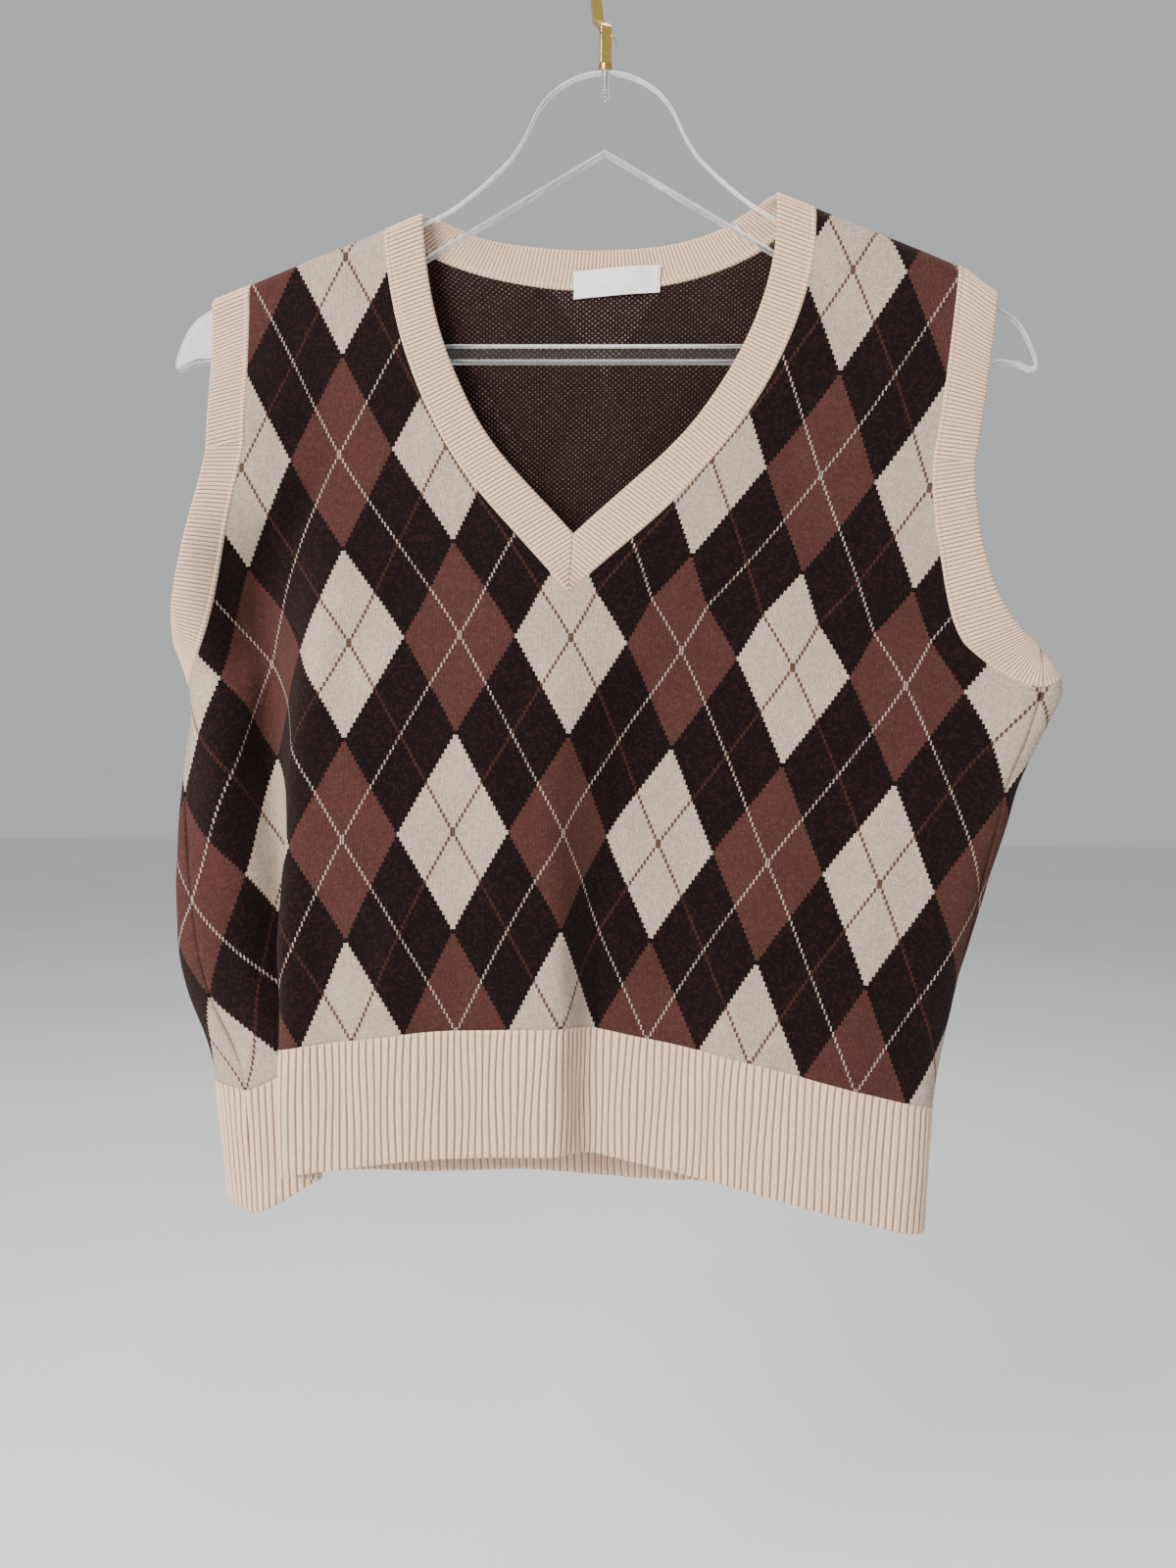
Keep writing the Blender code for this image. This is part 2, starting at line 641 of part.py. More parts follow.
def hanger_body():
    half = half_outline()
    outline = half + [(-x, z) for x, z in reversed(half[1:])]
    reach = (OPENING_APEX - BAR_TOP) / OPENING_SLOPE - 6
    opening = [(0, OPENING_APEX), (-reach, BAR_TOP + 4), (-reach + 1, BAR_TOP + 1), (-reach + 5, BAR_TOP)]
    opening += [(-x, z) for x, z in reversed(opening[1:])]
    made = flat_solid("hanger_body", [outline, opening], HANGER_WALL, HANGER_EDGE, ACRYLIC)
    radius = SCREW_RADIUS + SCREW_CLEARANCE
    bottom = HANGER_TOP - SCREW_LENGTH - SCREW_CLEARANCE
    work = bmesh.new()
    bmesh.ops.create_cone(
        work, cap_ends=True, segments=16, radius1=radius * MM, radius2=radius * MM, depth=DRILL_LENGTH * MM
    )
    mesh = bpy.data.meshes.new("screw_hole")
    work.to_mesh(mesh)
    work.free()
    drill = bpy.data.objects.new("screw_hole", mesh)
    CUTTERS.objects.link(drill)
    drill.location.z = (bottom + DRILL_LENGTH / 2) * MM
    drill.hide_render = True
    drill.display_type = "WIRE"
    cut = made.modifiers.new("screw_hole", "BOOLEAN")
    cut.object = drill
    return made


def turned(name, profile, finish, segments=16):
    """A profile of (radius, z) turned about the screw's axis."""
    mesh = bpy.data.meshes.new(name)
    edges = [(i, i + 1) for i in range(len(profile) - 1)]
    mesh.from_pydata([(r * MM, 0, z * MM) for r, z in profile], edges, [])
    made = add_object(name, mesh, finish)
    screw = made.modifiers.new("turn", "SCREW")
    screw.steps = screw.render_steps = segments
    screw.use_merge_vertices = True
    screw.merge_threshold = 1e-5
    return made


def hook():
    """A flat bar: up from the ferrule, back in a jog, and over in the crown."""
    middle = HOOK_WALL / 2 - CROWN_RADIUS
    start = HANGER_TOP + FERRULE_HEIGHT + 2 * SEAM_GAP
    high = np.array((-JOG, JOG_HIGH))
    reach = np.hypot(high[0], high[1] - middle)
    lean = np.degrees(np.arctan2(middle - high[1], -high[0]))
    touch = 180 + lean - np.degrees(np.arccos(CROWN_RADIUS / reach))
    path = [(0, start), (0, JOG_LOW - 3), (-1, JOG_LOW), (-JOG + 1, JOG_HIGH - 2.5), (-JOG, JOG_HIGH)]
    path += arc((0, middle), CROWN_RADIUS, touch, -25, 18)
    path = np.array(path)
    ahead = np.gradient(path, axis=0)
    ahead /= np.linalg.norm(ahead, axis=1)[:, None]
    across = np.stack([-ahead[:, 1], ahead[:, 0]], 1) * HOOK_WALL / 2
    outline = [tuple(p) for p in path + across] + [tuple(p) for p in (path - across)[::-1]]
    made = flat_solid("hook", [outline], HOOK_WIDTH, 0.4, BRASS)
    made.rotation_euler.z = radians(-90 + HOOK_TURN)
    return made


for old in list(bpy.data.objects):
    bpy.data.objects.remove(old, do_unlink=True)
VEST = bpy.data.collections.new("sweater_vest")
CUTTERS = bpy.data.collections.new("cutters")
bpy.context.scene.collection.children.link(VEST)
bpy.context.scene.collection.children.link(CUTTERS)
KNIT = material("argyle_knit", (0.13, 0.05, 0.04), 0.9)
RIB = material("rib_knit", (0.78, 0.62, 0.52), 0.9)
SATIN = material("label_satin", (0.9, 0.9, 0.9), 0.5)
ACRYLIC = material("clear_acrylic", (0.9, 0.95, 0.95), 0.05, alpha=0.3)
BRASS = material("polished_brass", (0.85, 0.62, 0.25), 0.2, metallic=1.0)
STEEL = material("screw_steel", (0.6, 0.6, 0.6), 0.35, metallic=1.0)

front_panel()
back_panel()
rib("hem_rib_front", FRONT, spaced(FRONT_COLUMNS))
rib("hem_rib_back", BACK, spaced(BACK_COLUMNS))
neckband()
armband("armband_left", -1)
armband("armband_right", 1)
neck_label()
hanger_body()
hook()
low = HANGER_TOP + SEAM_GAP
turned(
    "ferrule",
    [(0, low + FERRULE_HEIGHT), (3, low + FERRULE_HEIGHT), (FERRULE_RADIUS, low + FERRULE_HEIGHT - 0.5),
     (FERRULE_RADIUS, low + 0.4), (3.1, low), (0, low)],
    BRASS,
)
turned(
    "screw",
    [(0, HANGER_TOP), (SCREW_RADIUS, HANGER_TOP), (SCREW_RADIUS, HANGER_TOP - SCREW_LENGTH + 3),
     (0.7, HANGER_TOP - SCREW_LENGTH), (0, HANGER_TOP - SCREW_LENGTH)],
    STEEL,
)
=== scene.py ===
"""The looks of a knitted argyle sweater vest on its clear hanger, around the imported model.

The shape is the model's own: the functions under "The cloth" repeat its tables in millimetres, and
every knitted piece here is a thin shell on that one cloth. A point of it is (side, column, height):
side is FRONT or BACK, column counts argyle columns from the centre, to the viewer's right, and
height is measured up along the knit from the top of the hem rib.
"""

from functools import cache
from math import cos, pi, radians, sin

import bmesh
import bpy
import numpy as np
from mathutils import Matrix, Vector


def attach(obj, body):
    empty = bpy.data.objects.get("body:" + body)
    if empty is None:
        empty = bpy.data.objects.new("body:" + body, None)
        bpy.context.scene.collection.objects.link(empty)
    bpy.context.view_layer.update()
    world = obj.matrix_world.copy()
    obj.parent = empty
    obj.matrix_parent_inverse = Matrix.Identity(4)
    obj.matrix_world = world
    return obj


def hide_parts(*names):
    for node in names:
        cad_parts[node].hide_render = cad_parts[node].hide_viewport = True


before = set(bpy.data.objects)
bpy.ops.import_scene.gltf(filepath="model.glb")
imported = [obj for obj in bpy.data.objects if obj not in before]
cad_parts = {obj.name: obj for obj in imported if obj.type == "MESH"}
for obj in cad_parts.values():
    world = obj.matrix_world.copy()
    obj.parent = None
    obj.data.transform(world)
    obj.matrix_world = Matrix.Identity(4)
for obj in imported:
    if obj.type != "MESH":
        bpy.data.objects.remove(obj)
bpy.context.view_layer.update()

MM = 0.001
FRONT, BACK = -1, 1

# ---------------------------------------------------------------------------- sizes

PANEL_WALL, RIB_WALL, BAND_WALL = 2.0, 2.4, 2.4
HALF_COLUMNS = 4.0
COLUMN = 56.0  # the flat width of a column
DIAMOND = 99.0  # the flat height of a diamond
STITCHES, COURSES = 42, 84  # in the width of a column and the height of a diamond
RIB_HEIGHT = 62.0
RIB_TOP_Z = -555.0
UNDERARM = 204.0
ARMHOLE_COLUMN = 3.0
ARMHOLE_CURVE = 106.0
ARMBAND_WIDTH = 21.0
V_HEIGHT, NECK_TOP = 223.0, 414.0
NECK_COLUMN = 1.62
NECKBAND_COLUMNS = 0.35
BACK_NECK = 390.0
NECKBAND_WIDTH = 19.5
LAST_ROW = 312.0  # the height from which the rows turn to follow the shoulders
ON_ARMS = 410.0  # a height at which the sections lie on the hanger's arms
LAP = 0.003  # how far, in columns, edges reach past the line at which they meet
HEM_PITCH, BAND_PITCH = 3.9, 2.2
LABEL_SIZE = (45.0, 14.0)
LABEL_TILT = 0.06  # its rise along its length
LABEL_COLUMN, LABEL_HEIGHT = 0.08, 400.0

HANGER_WALL, HANGER_EDGE, HANGER_TOP = 8.0, 1.3, -68.0
ARM_X, ARM_Z, ARM_SLOPE, ARM_END_X = 84.7, -141.5, 0.405, 207.0
TIP_X, TIP_Z = 221.0, -220.0
BELL_RADIUS, CORNER_RADIUS = 41.0, 4.0  # of the top of the bell, and of the opening's lower corners
BAR_TOP, BAR_BOTTOM = -207.0, -216.0
OPENING_APEX, OPENING_SLOPE = -109.6, 0.60
SHOULDER_LIFT, RIGHT_LIFT = 4.0, 8.0
WRAP_LEFT, WRAP_RIGHT = 6.5, 9.0


# ---------------------------------------------------------------------------- the cloth

def table(text):
    """Rows of numbers under a row of names, as {name: column}."""
    names, *rows = text.strip().splitlines()
    return dict(zip(names.split(), np.array([row.split() for row in rows], float).T))


SECTIONS = table("""
    height pitch x y lift squeeze
    -66 50.5 -70 -38 0 0
    0 51.5 -70 -36 0 0
    50 53.5 -72 -32 0 0
    100 55.5 -73 -27 -0.5 0
    150 56.0 -72 -24 -0.5 0
    200 56.0 -71 -20 -1 0
    250 55.5 -75 -17 -3 0.06
    300 54.5 -79 -14 -4 0.13
    400 54.0 -78 -9 0 0.06
    440 54.0 -78 -8 0 0.06
""")
TUCK = table("""
    height turn starts ends width lead
    -66 172 -3.24 -2.78 0.42 4
    0 165 -3.22 -2.76 0.42 10
    50 118 -3.14 -2.66 0.42 36
    100 86 -3.06 -2.50 0.38 56
    150 62 -3.05 -2.40 0.42 52
    200 47 -3.05 -2.30 0.50 46
    250 24 -2.75 -2.20 0.60 34
    300 6 -2.20 -2.10 0.60 16
    400 0 -2.25 -2.10 0.60 10
    440 0 -2.25 -2.10 0.60 10
""")
VALLEY = table("""
    height turn starts ends back
    -66 58 0.00 0.42 9
    0 56 -0.02 0.42 9
    50 50 -0.08 0.44 8
    100 42 -0.12 0.50 7
    150 26 -0.10 0.60 5
    200 8 0.00 0.80 2
    250 2 0.00 0.80 0
    440 0 0.00 0.80 0
""")
SIDES = table("""
    height left left_width right right_width
    -66 -4.10 1.0 3.72 0.7
    0 -4.22 1.2 3.72 0.7
    50 -4.22 1.1 3.80 0.8
    100 -4.16 1.0 3.94 0.9
    150 -3.94 1.1 4.12 0.9
    200 -3.74 1.15 4.35 0.9
    250 -3.90 1.0 4.40 0.9
    300 -4.20 1.0 4.40 0.9
    440 -4.40 1.0 4.40 0.9
""")
DROOP = table("""
    column rib chest shoulder
    -4.8 34 36 38
    -4 29 29 28
    -3 14 13 14
    -2 5.5 4 5
    -1 0 0 0
    0 -1 1 1
    1 6 6.5 6
    2 16 15 13
    3 28 24 15
    4 39 29 17
    4.8 43 31 20
""")
SPREAD = table("""
    height by
    223 0
    250 5
    300 13
    350 18
    400 21
    440 22
""")
BACK_FOLDS = table("""
    column width turn
    -2.1 0.8 12
    -0.2 1.0 9
    1.9 0.7 14
""")
LEAD_FROM, LEAD_OVER = -3.55, 0.44  # the column at which the cloth turns into the left fold
LOW_LEFT = 8.0  # how much lower the left side hangs below the chest
BACK_ARCH, BACK_EASE, BACK_DEPTH, BACK_SETTLE = 13.0, 1.04, 9.0, 90.0
FLARE, FLARE_HEIGHT, FLARE_REACH = 13.0, 212.0, 70.0  # how far the right underarm stands out
BACK_LEVEL = (200.0, 50.0)  # from where and over what height the back falls in behind the front
LEAST_SIDE_RADIUS, MOST_SIDE_RADIUS = 9.0, 60.0

WALK = np.linspace(-5, 5, 1001)
WALK_STEP = WALK[1] - WALK[0]
LEVELS = np.arange(-70.0, 446.0, 2.0)  # the heights at which a section is worked out


def smooth(x):
    x = np.clip(x, 0.0, 1.0)
    return x * x * (3 - 2 * x)


def rise(column, middle, width):
    """From 0 to 1 over width, half way at middle."""
    return smooth((column - middle) / width + 0.5)


def read(values, name, at):
    """A column of a table at a place between its rows, with no overshoot."""
    x = next(iter(values.values()))
    y = values[name]
    at = np.clip(at, x[0], x[-1])
    step = np.diff(x)
    slope = np.diff(y) / step
    lean = np.zeros_like(y)
    lean[0], lean[-1] = slope[0], slope[-1]
    same = slope[:-1] * slope[1:] > 0
    both = np.where(same, slope[:-1] + slope[1:], 1)
    lean[1:-1] = np.where(same, 2 * slope[:-1] * slope[1:] / both, 0)
    k = np.clip(np.searchsorted(x, at) - 1, 0, len(step) - 1)
    t = (at - x[k]) / step[k]
    ends = (1 + 2 * t) * (1 - t) ** 2 * y[k] + t * t * (3 - 2 * t) * y[k + 1]
    return ends + step[k] * (t * (1 - t) ** 2 * lean[k] - t * t * (1 - t) * lean[k + 1])


def front_heading(height):
    """The section's heading along WALK: 0 is straight across, positive turns away."""
    tuck = {name: read(TUCK, name, height) for name in TUCK}
    valley = {name: read(VALLEY, name, height) for name in VALLEY}
    side = {name: read(SIDES, name, height) for name in SIDES}
    into = rise(WALK, tuck["starts"], tuck["width"])
    out = rise(WALK, tuck["ends"], tuck["width"])
    turn = -90 * (1 - rise(WALK, side["left"], side["left_width"]))
    turn += tuck["lead"] * (rise(WALK, LEAD_FROM, LEAD_OVER) - into) - tuck["turn"] * (into - out)
    turn += valley["turn"] * (rise(WALK, valley["starts"], 0.3) - rise(WALK, valley["ends"], 0.3))
    turn -= valley["back"] * (rise(WALK, valley["ends"] + 0.1, 0.5) - rise(WALK, 2.6, 1.2))
    turn += 90 * rise(WALK, side["right"], side["right_width"])
    return turn


def walked(heading, pitch):
    """x and y along WALK, from the heading and the width of a column."""
    across = np.cos(np.radians(heading)) * pitch
    away = np.sin(np.radians(heading)) * pitch
    x = np.concatenate([[0], np.cumsum(across[1:] + across[:-1]) * WALK_STEP / 2])
    y = np.concatenate([[0], np.cumsum(away[1:] + away[:-1]) * WALK_STEP / 2])
    return x, y


def flare(column, height):
    """How far the right underarm stands out of the plain section."""
    return FLARE * smooth(1 - abs(height - FLARE_HEIGHT) / FLARE_REACH) * rise(column, 3.7, 0.7)


def front_section(height):
    heading = front_heading(height)
    pitch = read(SECTIONS, "pitch", height)
    pitch = pitch * (1 - read(SECTIONS, "squeeze", height) * (1 - rise(WALK, -2.1, 0.6)))
    x, y = walked(heading, pitch)
    x += read(SECTIONS, "x", height) - np.interp(-1, WALK, x)
    y += read(SECTIONS, "y", height) - np.interp(-1, WALK, y)
    x += 2 * read(SPREAD, "by", height) * rise(WALK, 0, 1.6)
    x += flare(WALK, height)
    return x, y, heading


def back_heading(start, end, radius, pitch):
    """From the left seam's heading, round the side, across and round to the right seam's."""
    round_left = radians(start) * radius / pitch
    round_right = radians(-end) * radius / pitch
    turn = start * (1 - smooth((WALK + HALF_COLUMNS) / round_left))
    turn += end * smooth((WALK - HALF_COLUMNS) / round_right + 1)
    for middle, width, by in zip(*BACK_FOLDS.values()):
        turn += by * (rise(WALK, middle - width, width) - rise(WALK, middle, width))
        turn -= by * (rise(WALK, middle, width) - rise(WALK, middle + width, width))
    return turn


def back_section(height):
    """The back closes the ring, with side turns as wide as its own length allows."""
    front_x, front_y, heading = front_section(height)
    seams = np.array([-HALF_COLUMNS, HALF_COLUMNS])
    seam_x, seam_y = np.interp(seams, WALK, front_x), np.interp(seams, WALK, front_y)
    start, end = np.interp(seams, WALK, heading) + (180, -180)
    pitch = read(SECTIONS, "pitch", height) * BACK_EASE
    tight, wide = LEAST_SIDE_RADIUS, MOST_SIDE_RADIUS
    for _ in range(24):
        radius = (tight + wide) / 2
        x, y = walked(back_heading(start, end, radius, pitch), pitch)
        reach = np.interp(seams, WALK, x)
        if reach[1] - reach[0] > seam_x[1] - seam_x[0]:
            tight = radius
        else:
            wide = radius
    share = (x - reach[0]) / (reach[1] - reach[0])
    x = seam_x[0] + share * (seam_x[1] - seam_x[0])
    ends = np.interp(seams, WALK, y)
    along = (WALK + HALF_COLUMNS) / (2 * HALF_COLUMNS)
    y = y - ends[0] + seam_y[0] + along * (seam_y[1] - seam_y[0] - ends[1] + ends[0])
    return x, y


SECTION_XY = {
    FRONT: np.array([front_section(height)[:2] for height in LEVELS]),
    BACK: np.array([back_section(height) for height in LEVELS]),
}


def section(side, axis, column, height):
    """x (axis 0) or y (axis 1) of the section at each column and height."""
    values = SECTION_XY[side][:, axis]
    row = np.clip((height - LEVELS[0]) / (LEVELS[1] - LEVELS[0]), 0, len(LEVELS) - 1.001)
    place = np.clip((column - WALK[0]) / WALK_STEP, 0, len(WALK) - 1.001)
    i, j = row.astype(int), place.astype(int)
    s, t = row - i, place - j
    low = values[i, j] * (1 - t) + values[i, j + 1] * t
    high = values[i + 1, j] * (1 - t) + values[i + 1, j + 1] * t
    return low * (1 - s) + high * s


def droop(side, column, height):
    """How far the cloth hangs below a level line."""
    if side == BACK:
        left, right = (droop(FRONT, seam, height) for seam in (-HALF_COLUMNS, HALF_COLUMNS))
        share = column / HALF_COLUMNS
        return (left + right) / 2 + share * (right - left) / 2 - BACK_ARCH * (1 - share**2)
    low, middle, high = (read(DROOP, name, column) for name in ("rib", "chest", "shoulder"))
    chest = low + (middle - low) * smooth(height / 150)
    chest = chest + LOW_LEFT * smooth((190 - height) / 90) * rise(-column, 3.6, 0.8)
    return chest + (high - chest) * smooth((height - 220) / 180)


def hung(side, column, height):
    """Height in space of the cloth where it hangs straight."""
    return RIB_TOP_Z + height + read(SECTIONS, "lift", height) - droop(side, column, height)


def arm_top(x):
    return ARM_Z - ARM_SLOPE * (abs(x) - ARM_X)


def wrap_radius(column):
    return WRAP_LEFT + (WRAP_RIGHT - WRAP_LEFT) * smooth(column + 0.5)


def ridge(column):
    """Height in space of the cloth's middle where it passes over the hanger."""
    x = section(FRONT, 0, column, np.full_like(column, ON_ARMS))
    proud = RIGHT_LIFT * smooth(column) * (1 - 0.6 * smooth((column - 3) / 0.4))
    return arm_top(x) + SHOULDER_LIFT + proud


def shoulder(side, column):
    """Height along the knit at which the cloth reaches its ridge."""
    column = np.asarray(column, float)
    slack = (pi / 2 - 1) * wrap_radius(column)
    height = np.full_like(column, ON_ARMS)
    for _ in range(8):
        height = height + ridge(column) + slack - hung(side, column, height)
    return height


def plain_cloth(side, column, height):
    """Points of the cloth's middle surface, before its small creases."""
    radius = wrap_radius(column)
    left = shoulder(side, column) - height
    quarter = radius * pi / 2
    x = section(side, 0, column, np.minimum(height, ON_ARMS))
    if side == BACK:
        start, over = BACK_LEVEL
        behind = section(FRONT, 0, column, np.minimum(height, ON_ARMS))
        x = x + (behind - x) * smooth((height - start) / over) * rise(abs(column), 2.4, 1.6)
        seam_x = section(FRONT, 0, column, np.full_like(column, ON_ARMS))
        x = x + (seam_x - x) * (1 - smooth(left / 60))
    free = smooth((left - quarter) / 70)
    y = section(side, 1, column, height)
    if side == BACK:
        early = BACK_SETTLE * (1 - np.minimum(abs(column) / HALF_COLUMNS, 1) ** 2)
        y = y + (BACK_DEPTH - y) * smooth((height - 206 + early) / (70 + 1.4 * early))
    y = side * radius + (y - side * radius) * free
    z = hung(side, column, height)
    round_y = side * radius * np.sin(left / radius)
    round_z = ridge(column) - radius * (1 - np.cos(left / radius))
    over = left < quarter
    return np.stack([x, np.where(over, round_y, y), np.where(over, round_z, z)], -1)


def square_to(shape, side, column, height):
    """Unit normals of a surface function, which face out of the vest on both sides."""
    over, up = 0.02, 0.6
    across = shape(side, column + over, height) - shape(side, column - over, height)
    along = shape(side, column, height + up) - shape(side, column, height - up)
    normal = -side * np.cross(across, along)
    return normal / np.linalg.norm(normal, axis=-1, keepdims=True)


# Small creases and dents: where each runs from and to on the cloth, its width and its depth in
# millimetres. A positive depth stands proud of the outer side.
CREASES = {
    FRONT: table("""
    column height to_column to_height width depth
    -3.0 215 -3.6 120 13 2.2
    -2.7 268 -3.1 190 12 -1.6
    -2.2 300 -2.9 236 16 1.4
    -2.0 226 -2.5 130 15 1.5
    -1.2 240 -2.2 176 18 -1.3
    -0.7 206 -0.4 60 18 1.2
    0.5 215 1.5 150 20 1.4
    0.7 150 0.8 20 22 1.8
    1.5 330 2.4 250 20 -1.2
    2.4 390 2.8 300 15 1.3
    1.3 120 1.5 -40 20 -1.6
    1.9 60 1.9 -60 16 1.5
    2.5 90 2.5 -50 16 -1.4
    3.1 130 3.0 -30 18 1.6
    2.8 215 3.9 172 14 1.6
    3.2 262 3.9 204 12 -1.5
    -1.5 70 -1.5 -58 16 1.4
    -2.1 90 -2.1 -50 14 -1.5
    -0.9 44 -0.9 -60 14 -1.4
    -3.5 90 -3.5 -50 12 1.2
"""),
    BACK: table("""
    column height to_column to_height width depth
    -2.9 232 -3.8 176 16 2.0
    -2.2 260 -2.8 130 20 -1.8
    -1.4 180 -1.2 10 22 1.9
    -0.6 300 -0.7 140 20 -1.4
    0.3 130 0.4 -50 20 1.7
    1.2 240 1.0 70 24 -1.7
    1.9 90 2.0 -50 16 1.6
    2.4 270 3.0 150 18 1.9
    3.0 120 3.1 -40 18 -1.6
    3.2 240 3.9 190 13 1.6
    -2.9 80 -3.0 -50 16 1.4
    -0.5 40 -0.5 -60 15 -1.4
"""),
}
# Soft unevenness everywhere: waves by column and height, and their size.
RUMPLES = table("""
    columns heights phase size
    0.9 0.011 0.4 0.45
    -1.7 0.019 2.1 0.34
    2.6 0.034 4.0 0.24
    4.1 -0.047 1.3 0.16
""")


def creased(side, column, height):
    """How far the small creases move the cloth along its normal."""
    moved = np.zeros_like(column)
    across, up = column * COLUMN, height
    for x0, z0, x1, z1, width, depth in zip(*CREASES[side].values()):
        x0, x1 = x0 * COLUMN, x1 * COLUMN
        run = np.hypot(x1 - x0, z1 - z0)
        share = ((across - x0) * (x1 - x0) + (up - z0) * (z1 - z0)) / run**2
        bend = 0.05 * run * np.sin(pi * np.clip(share, 0, 1))
        off = ((across - x0) * (z1 - z0) - (up - z0) * (x1 - x0)) / run - bend
        along = smooth(share / 0.35 + 0.4) * smooth((1 - share) / 0.35 + 0.4)
        moved += depth * np.exp(-((off / width) ** 2) * 2.2) * along
    for columns, heights, phase, size in zip(*RUMPLES.values()):
        wave = np.sin(2 * pi * (columns * column + heights * height) / 2 + phase + side)
        moved += size * wave * np.sin(0.021 * height + 2.3 * column + phase)
    near_top = smooth((shoulder(side, column) - height - 6) / 40)
    return moved * (0.25 + 0.75 * near_top)


def cloth(side, column, height):
    """Points of the cloth's middle surface."""
    column, height = np.broadcast_arrays(np.asarray(column, float), np.asarray(height, float))
    middle = plain_cloth(side, column, height)
    away = square_to(plain_cloth, side, column, height)
    return middle + away * creased(side, column, height)[..., None]


# ---------------------------------------------------------------------------- meshes

def shown(name, data):
    """A new object in the scene that holds data."""
    made = bpy.data.objects.new(name, data)
    bpy.context.scene.collection.objects.link(made)
    return made


def sheet_mesh(name, grids, finish):
    """A closed shell from grids. Each grid is (middle points, normals, outer offset, inner offset,
    uv), and every boundary edge gets a rim. Grids may share points along an edge."""
    places, offs, uvs, quads = [], [], [], []
    start = 0
    for points, normals, outer, inner, uv in grids:
        rows, columns = points.shape[:2]
        index = start + np.arange(rows * columns).reshape(rows, columns)
        facing = np.cross(points[:-1, 1:] - points[:-1, :-1], points[1:, :-1] - points[:-1, :-1])
        quad = np.stack([index[:-1, :-1], index[:-1, 1:], index[1:, 1:], index[1:, :-1]], -1).reshape(-1, 4)
        quads.append(quad if (facing * normals[:-1, :-1]).sum() > 0 else quad[:, ::-1])
        places.append(points.reshape(-1, 3))
        offs.append(np.stack([(points + normals * outer[..., None]).reshape(-1, 3),
                              (points - normals * inner[..., None]).reshape(-1, 3)]))
        uvs.append(uv.reshape(-1, 2))
        start += rows * columns
    places, uvs, quads = np.concatenate(places), np.concatenate(uvs), np.concatenate(quads)
    both = np.concatenate(offs, axis=1)
    _, first, same = np.unique(np.round(places, 3), axis=0, return_index=True, return_inverse=True)
    same = same.reshape(-1)
    both, uvs, quads = both[:, first], uvs[first], same[quads]
    count = len(first)
    edges = np.concatenate([quads[:, [0, 1]], quads[:, [1, 2]], quads[:, [2, 3]], quads[:, [3, 0]]])
    _, where, times = np.unique(np.sort(edges, axis=1), axis=0, return_index=True, return_counts=True)
    rim = edges[where[times == 1]]
    faces = np.concatenate([
        quads,
        quads[:, ::-1] + count,
        np.stack([rim[:, 1], rim[:, 0], rim[:, 0] + count, rim[:, 1] + count], -1),
    ])
    mesh = bpy.data.meshes.new(name)
    mesh.from_pydata((both.reshape(-1, 3) * MM).tolist(), [], faces.tolist())
    mesh.update()
    loops = np.empty(len(mesh.loops), np.int32)
    mesh.loops.foreach_get("vertex_index", loops)
    layer = mesh.uv_layers.new(name="cloth")
    layer.data.foreach_set("uv", uvs[loops % count].reshape(-1))
    inside = mesh.attributes.new("inside", "FLOAT", "POINT")
    inside.data.foreach_set("value", np.repeat([0.0, 1.0], count))
    mesh.shade_smooth()
    made = shown(name, mesh)
    mesh.materials.append(finish)
    return made


def flat_area(*grids):
    """The area in square metres that grids of (column, height) cover when the knit lies flat."""
    total = 0.0
    for column, height in grids:
        x, y = column * COLUMN, height
        across = (x[1:, 1:] - x[:-1, :-1]) * (y[1:, :-1] - y[:-1, 1:])
        up = (x[1:, :-1] - x[:-1, 1:]) * (y[1:, 1:] - y[:-1, :-1])
        total += np.abs(across - up).sum() / 2
    return total * MM * MM


def knitted(side, column, height, outer, inner, uv=None):
    """One grid for sheet_mesh on the cloth. Its uv is (column, diamonds up) unless it is given."""
    column, height = np.broadcast_arrays(column, height)
    points = cloth(side, column, height)
    normals = square_to(plain_cloth, side, column, height)
    if uv is None:
        uv = np.stack([column, height / DIAMOND], -1)
    return points, normals, np.broadcast_to(outer, column.shape), np.broadcast_to(inner, column.shape), uv


# ---------------------------------------------------------------------------- the cut

def armhole(height):
    """Column of the armhole's seam."""
    share = np.clip((height - UNDERARM) / ARMHOLE_CURVE, 0, 1)
    return ARMHOLE_COLUMN + (HALF_COLUMNS - ARMHOLE_COLUMN) * (1 - np.sqrt(share)) ** 1.1


def neckline(height):
    """Column of the front neckline's seam, from the V to the shoulder."""
    share = np.clip((height - V_HEIGHT) / (NECK_TOP - V_HEIGHT), 0, 1)
    return NECK_COLUMN * np.sin(pi / 2 * share**0.94)


def back_neckline(share, inset=0.0):
    """(column, height) of the back neckline, from a shoulder, -1, to the other, 1."""
    edge = np.sign(share) * (NECK_COLUMN - NECKBAND_COLUMNS * inset)
    top = shoulder(BACK, np.where(share == 0, 0.0, edge))
    low = BACK_NECK + NECKBAND_WIDTH * inset
    return abs(edge) * share, low + (top - low) * np.abs(share) ** 2.4


def neck_column(half, climb):
    """Column of the front neckline at a share of the way from the last level row to the ridge."""
    column = np.full_like(climb, half * NECK_COLUMN)
    for _ in range(6):
        height = LAST_ROW + (shoulder(FRONT, column) - LAST_ROW) * climb
        column = half * neckline(height)
    return column


def body_heights():
    """The level rows: even up to the underarm, then crowded where the armhole starts."""
    below = np.linspace(0.0, UNDERARM, 62)
    above = UNDERARM + (LAST_ROW - UNDERARM) * np.linspace(0, 1, 44)[1:] ** 2
    heights = np.unique(np.round(np.concatenate([below, above, [V_HEIGHT]]), 2))
    return heights[np.concatenate([[True], np.diff(heights) > 0.15])]


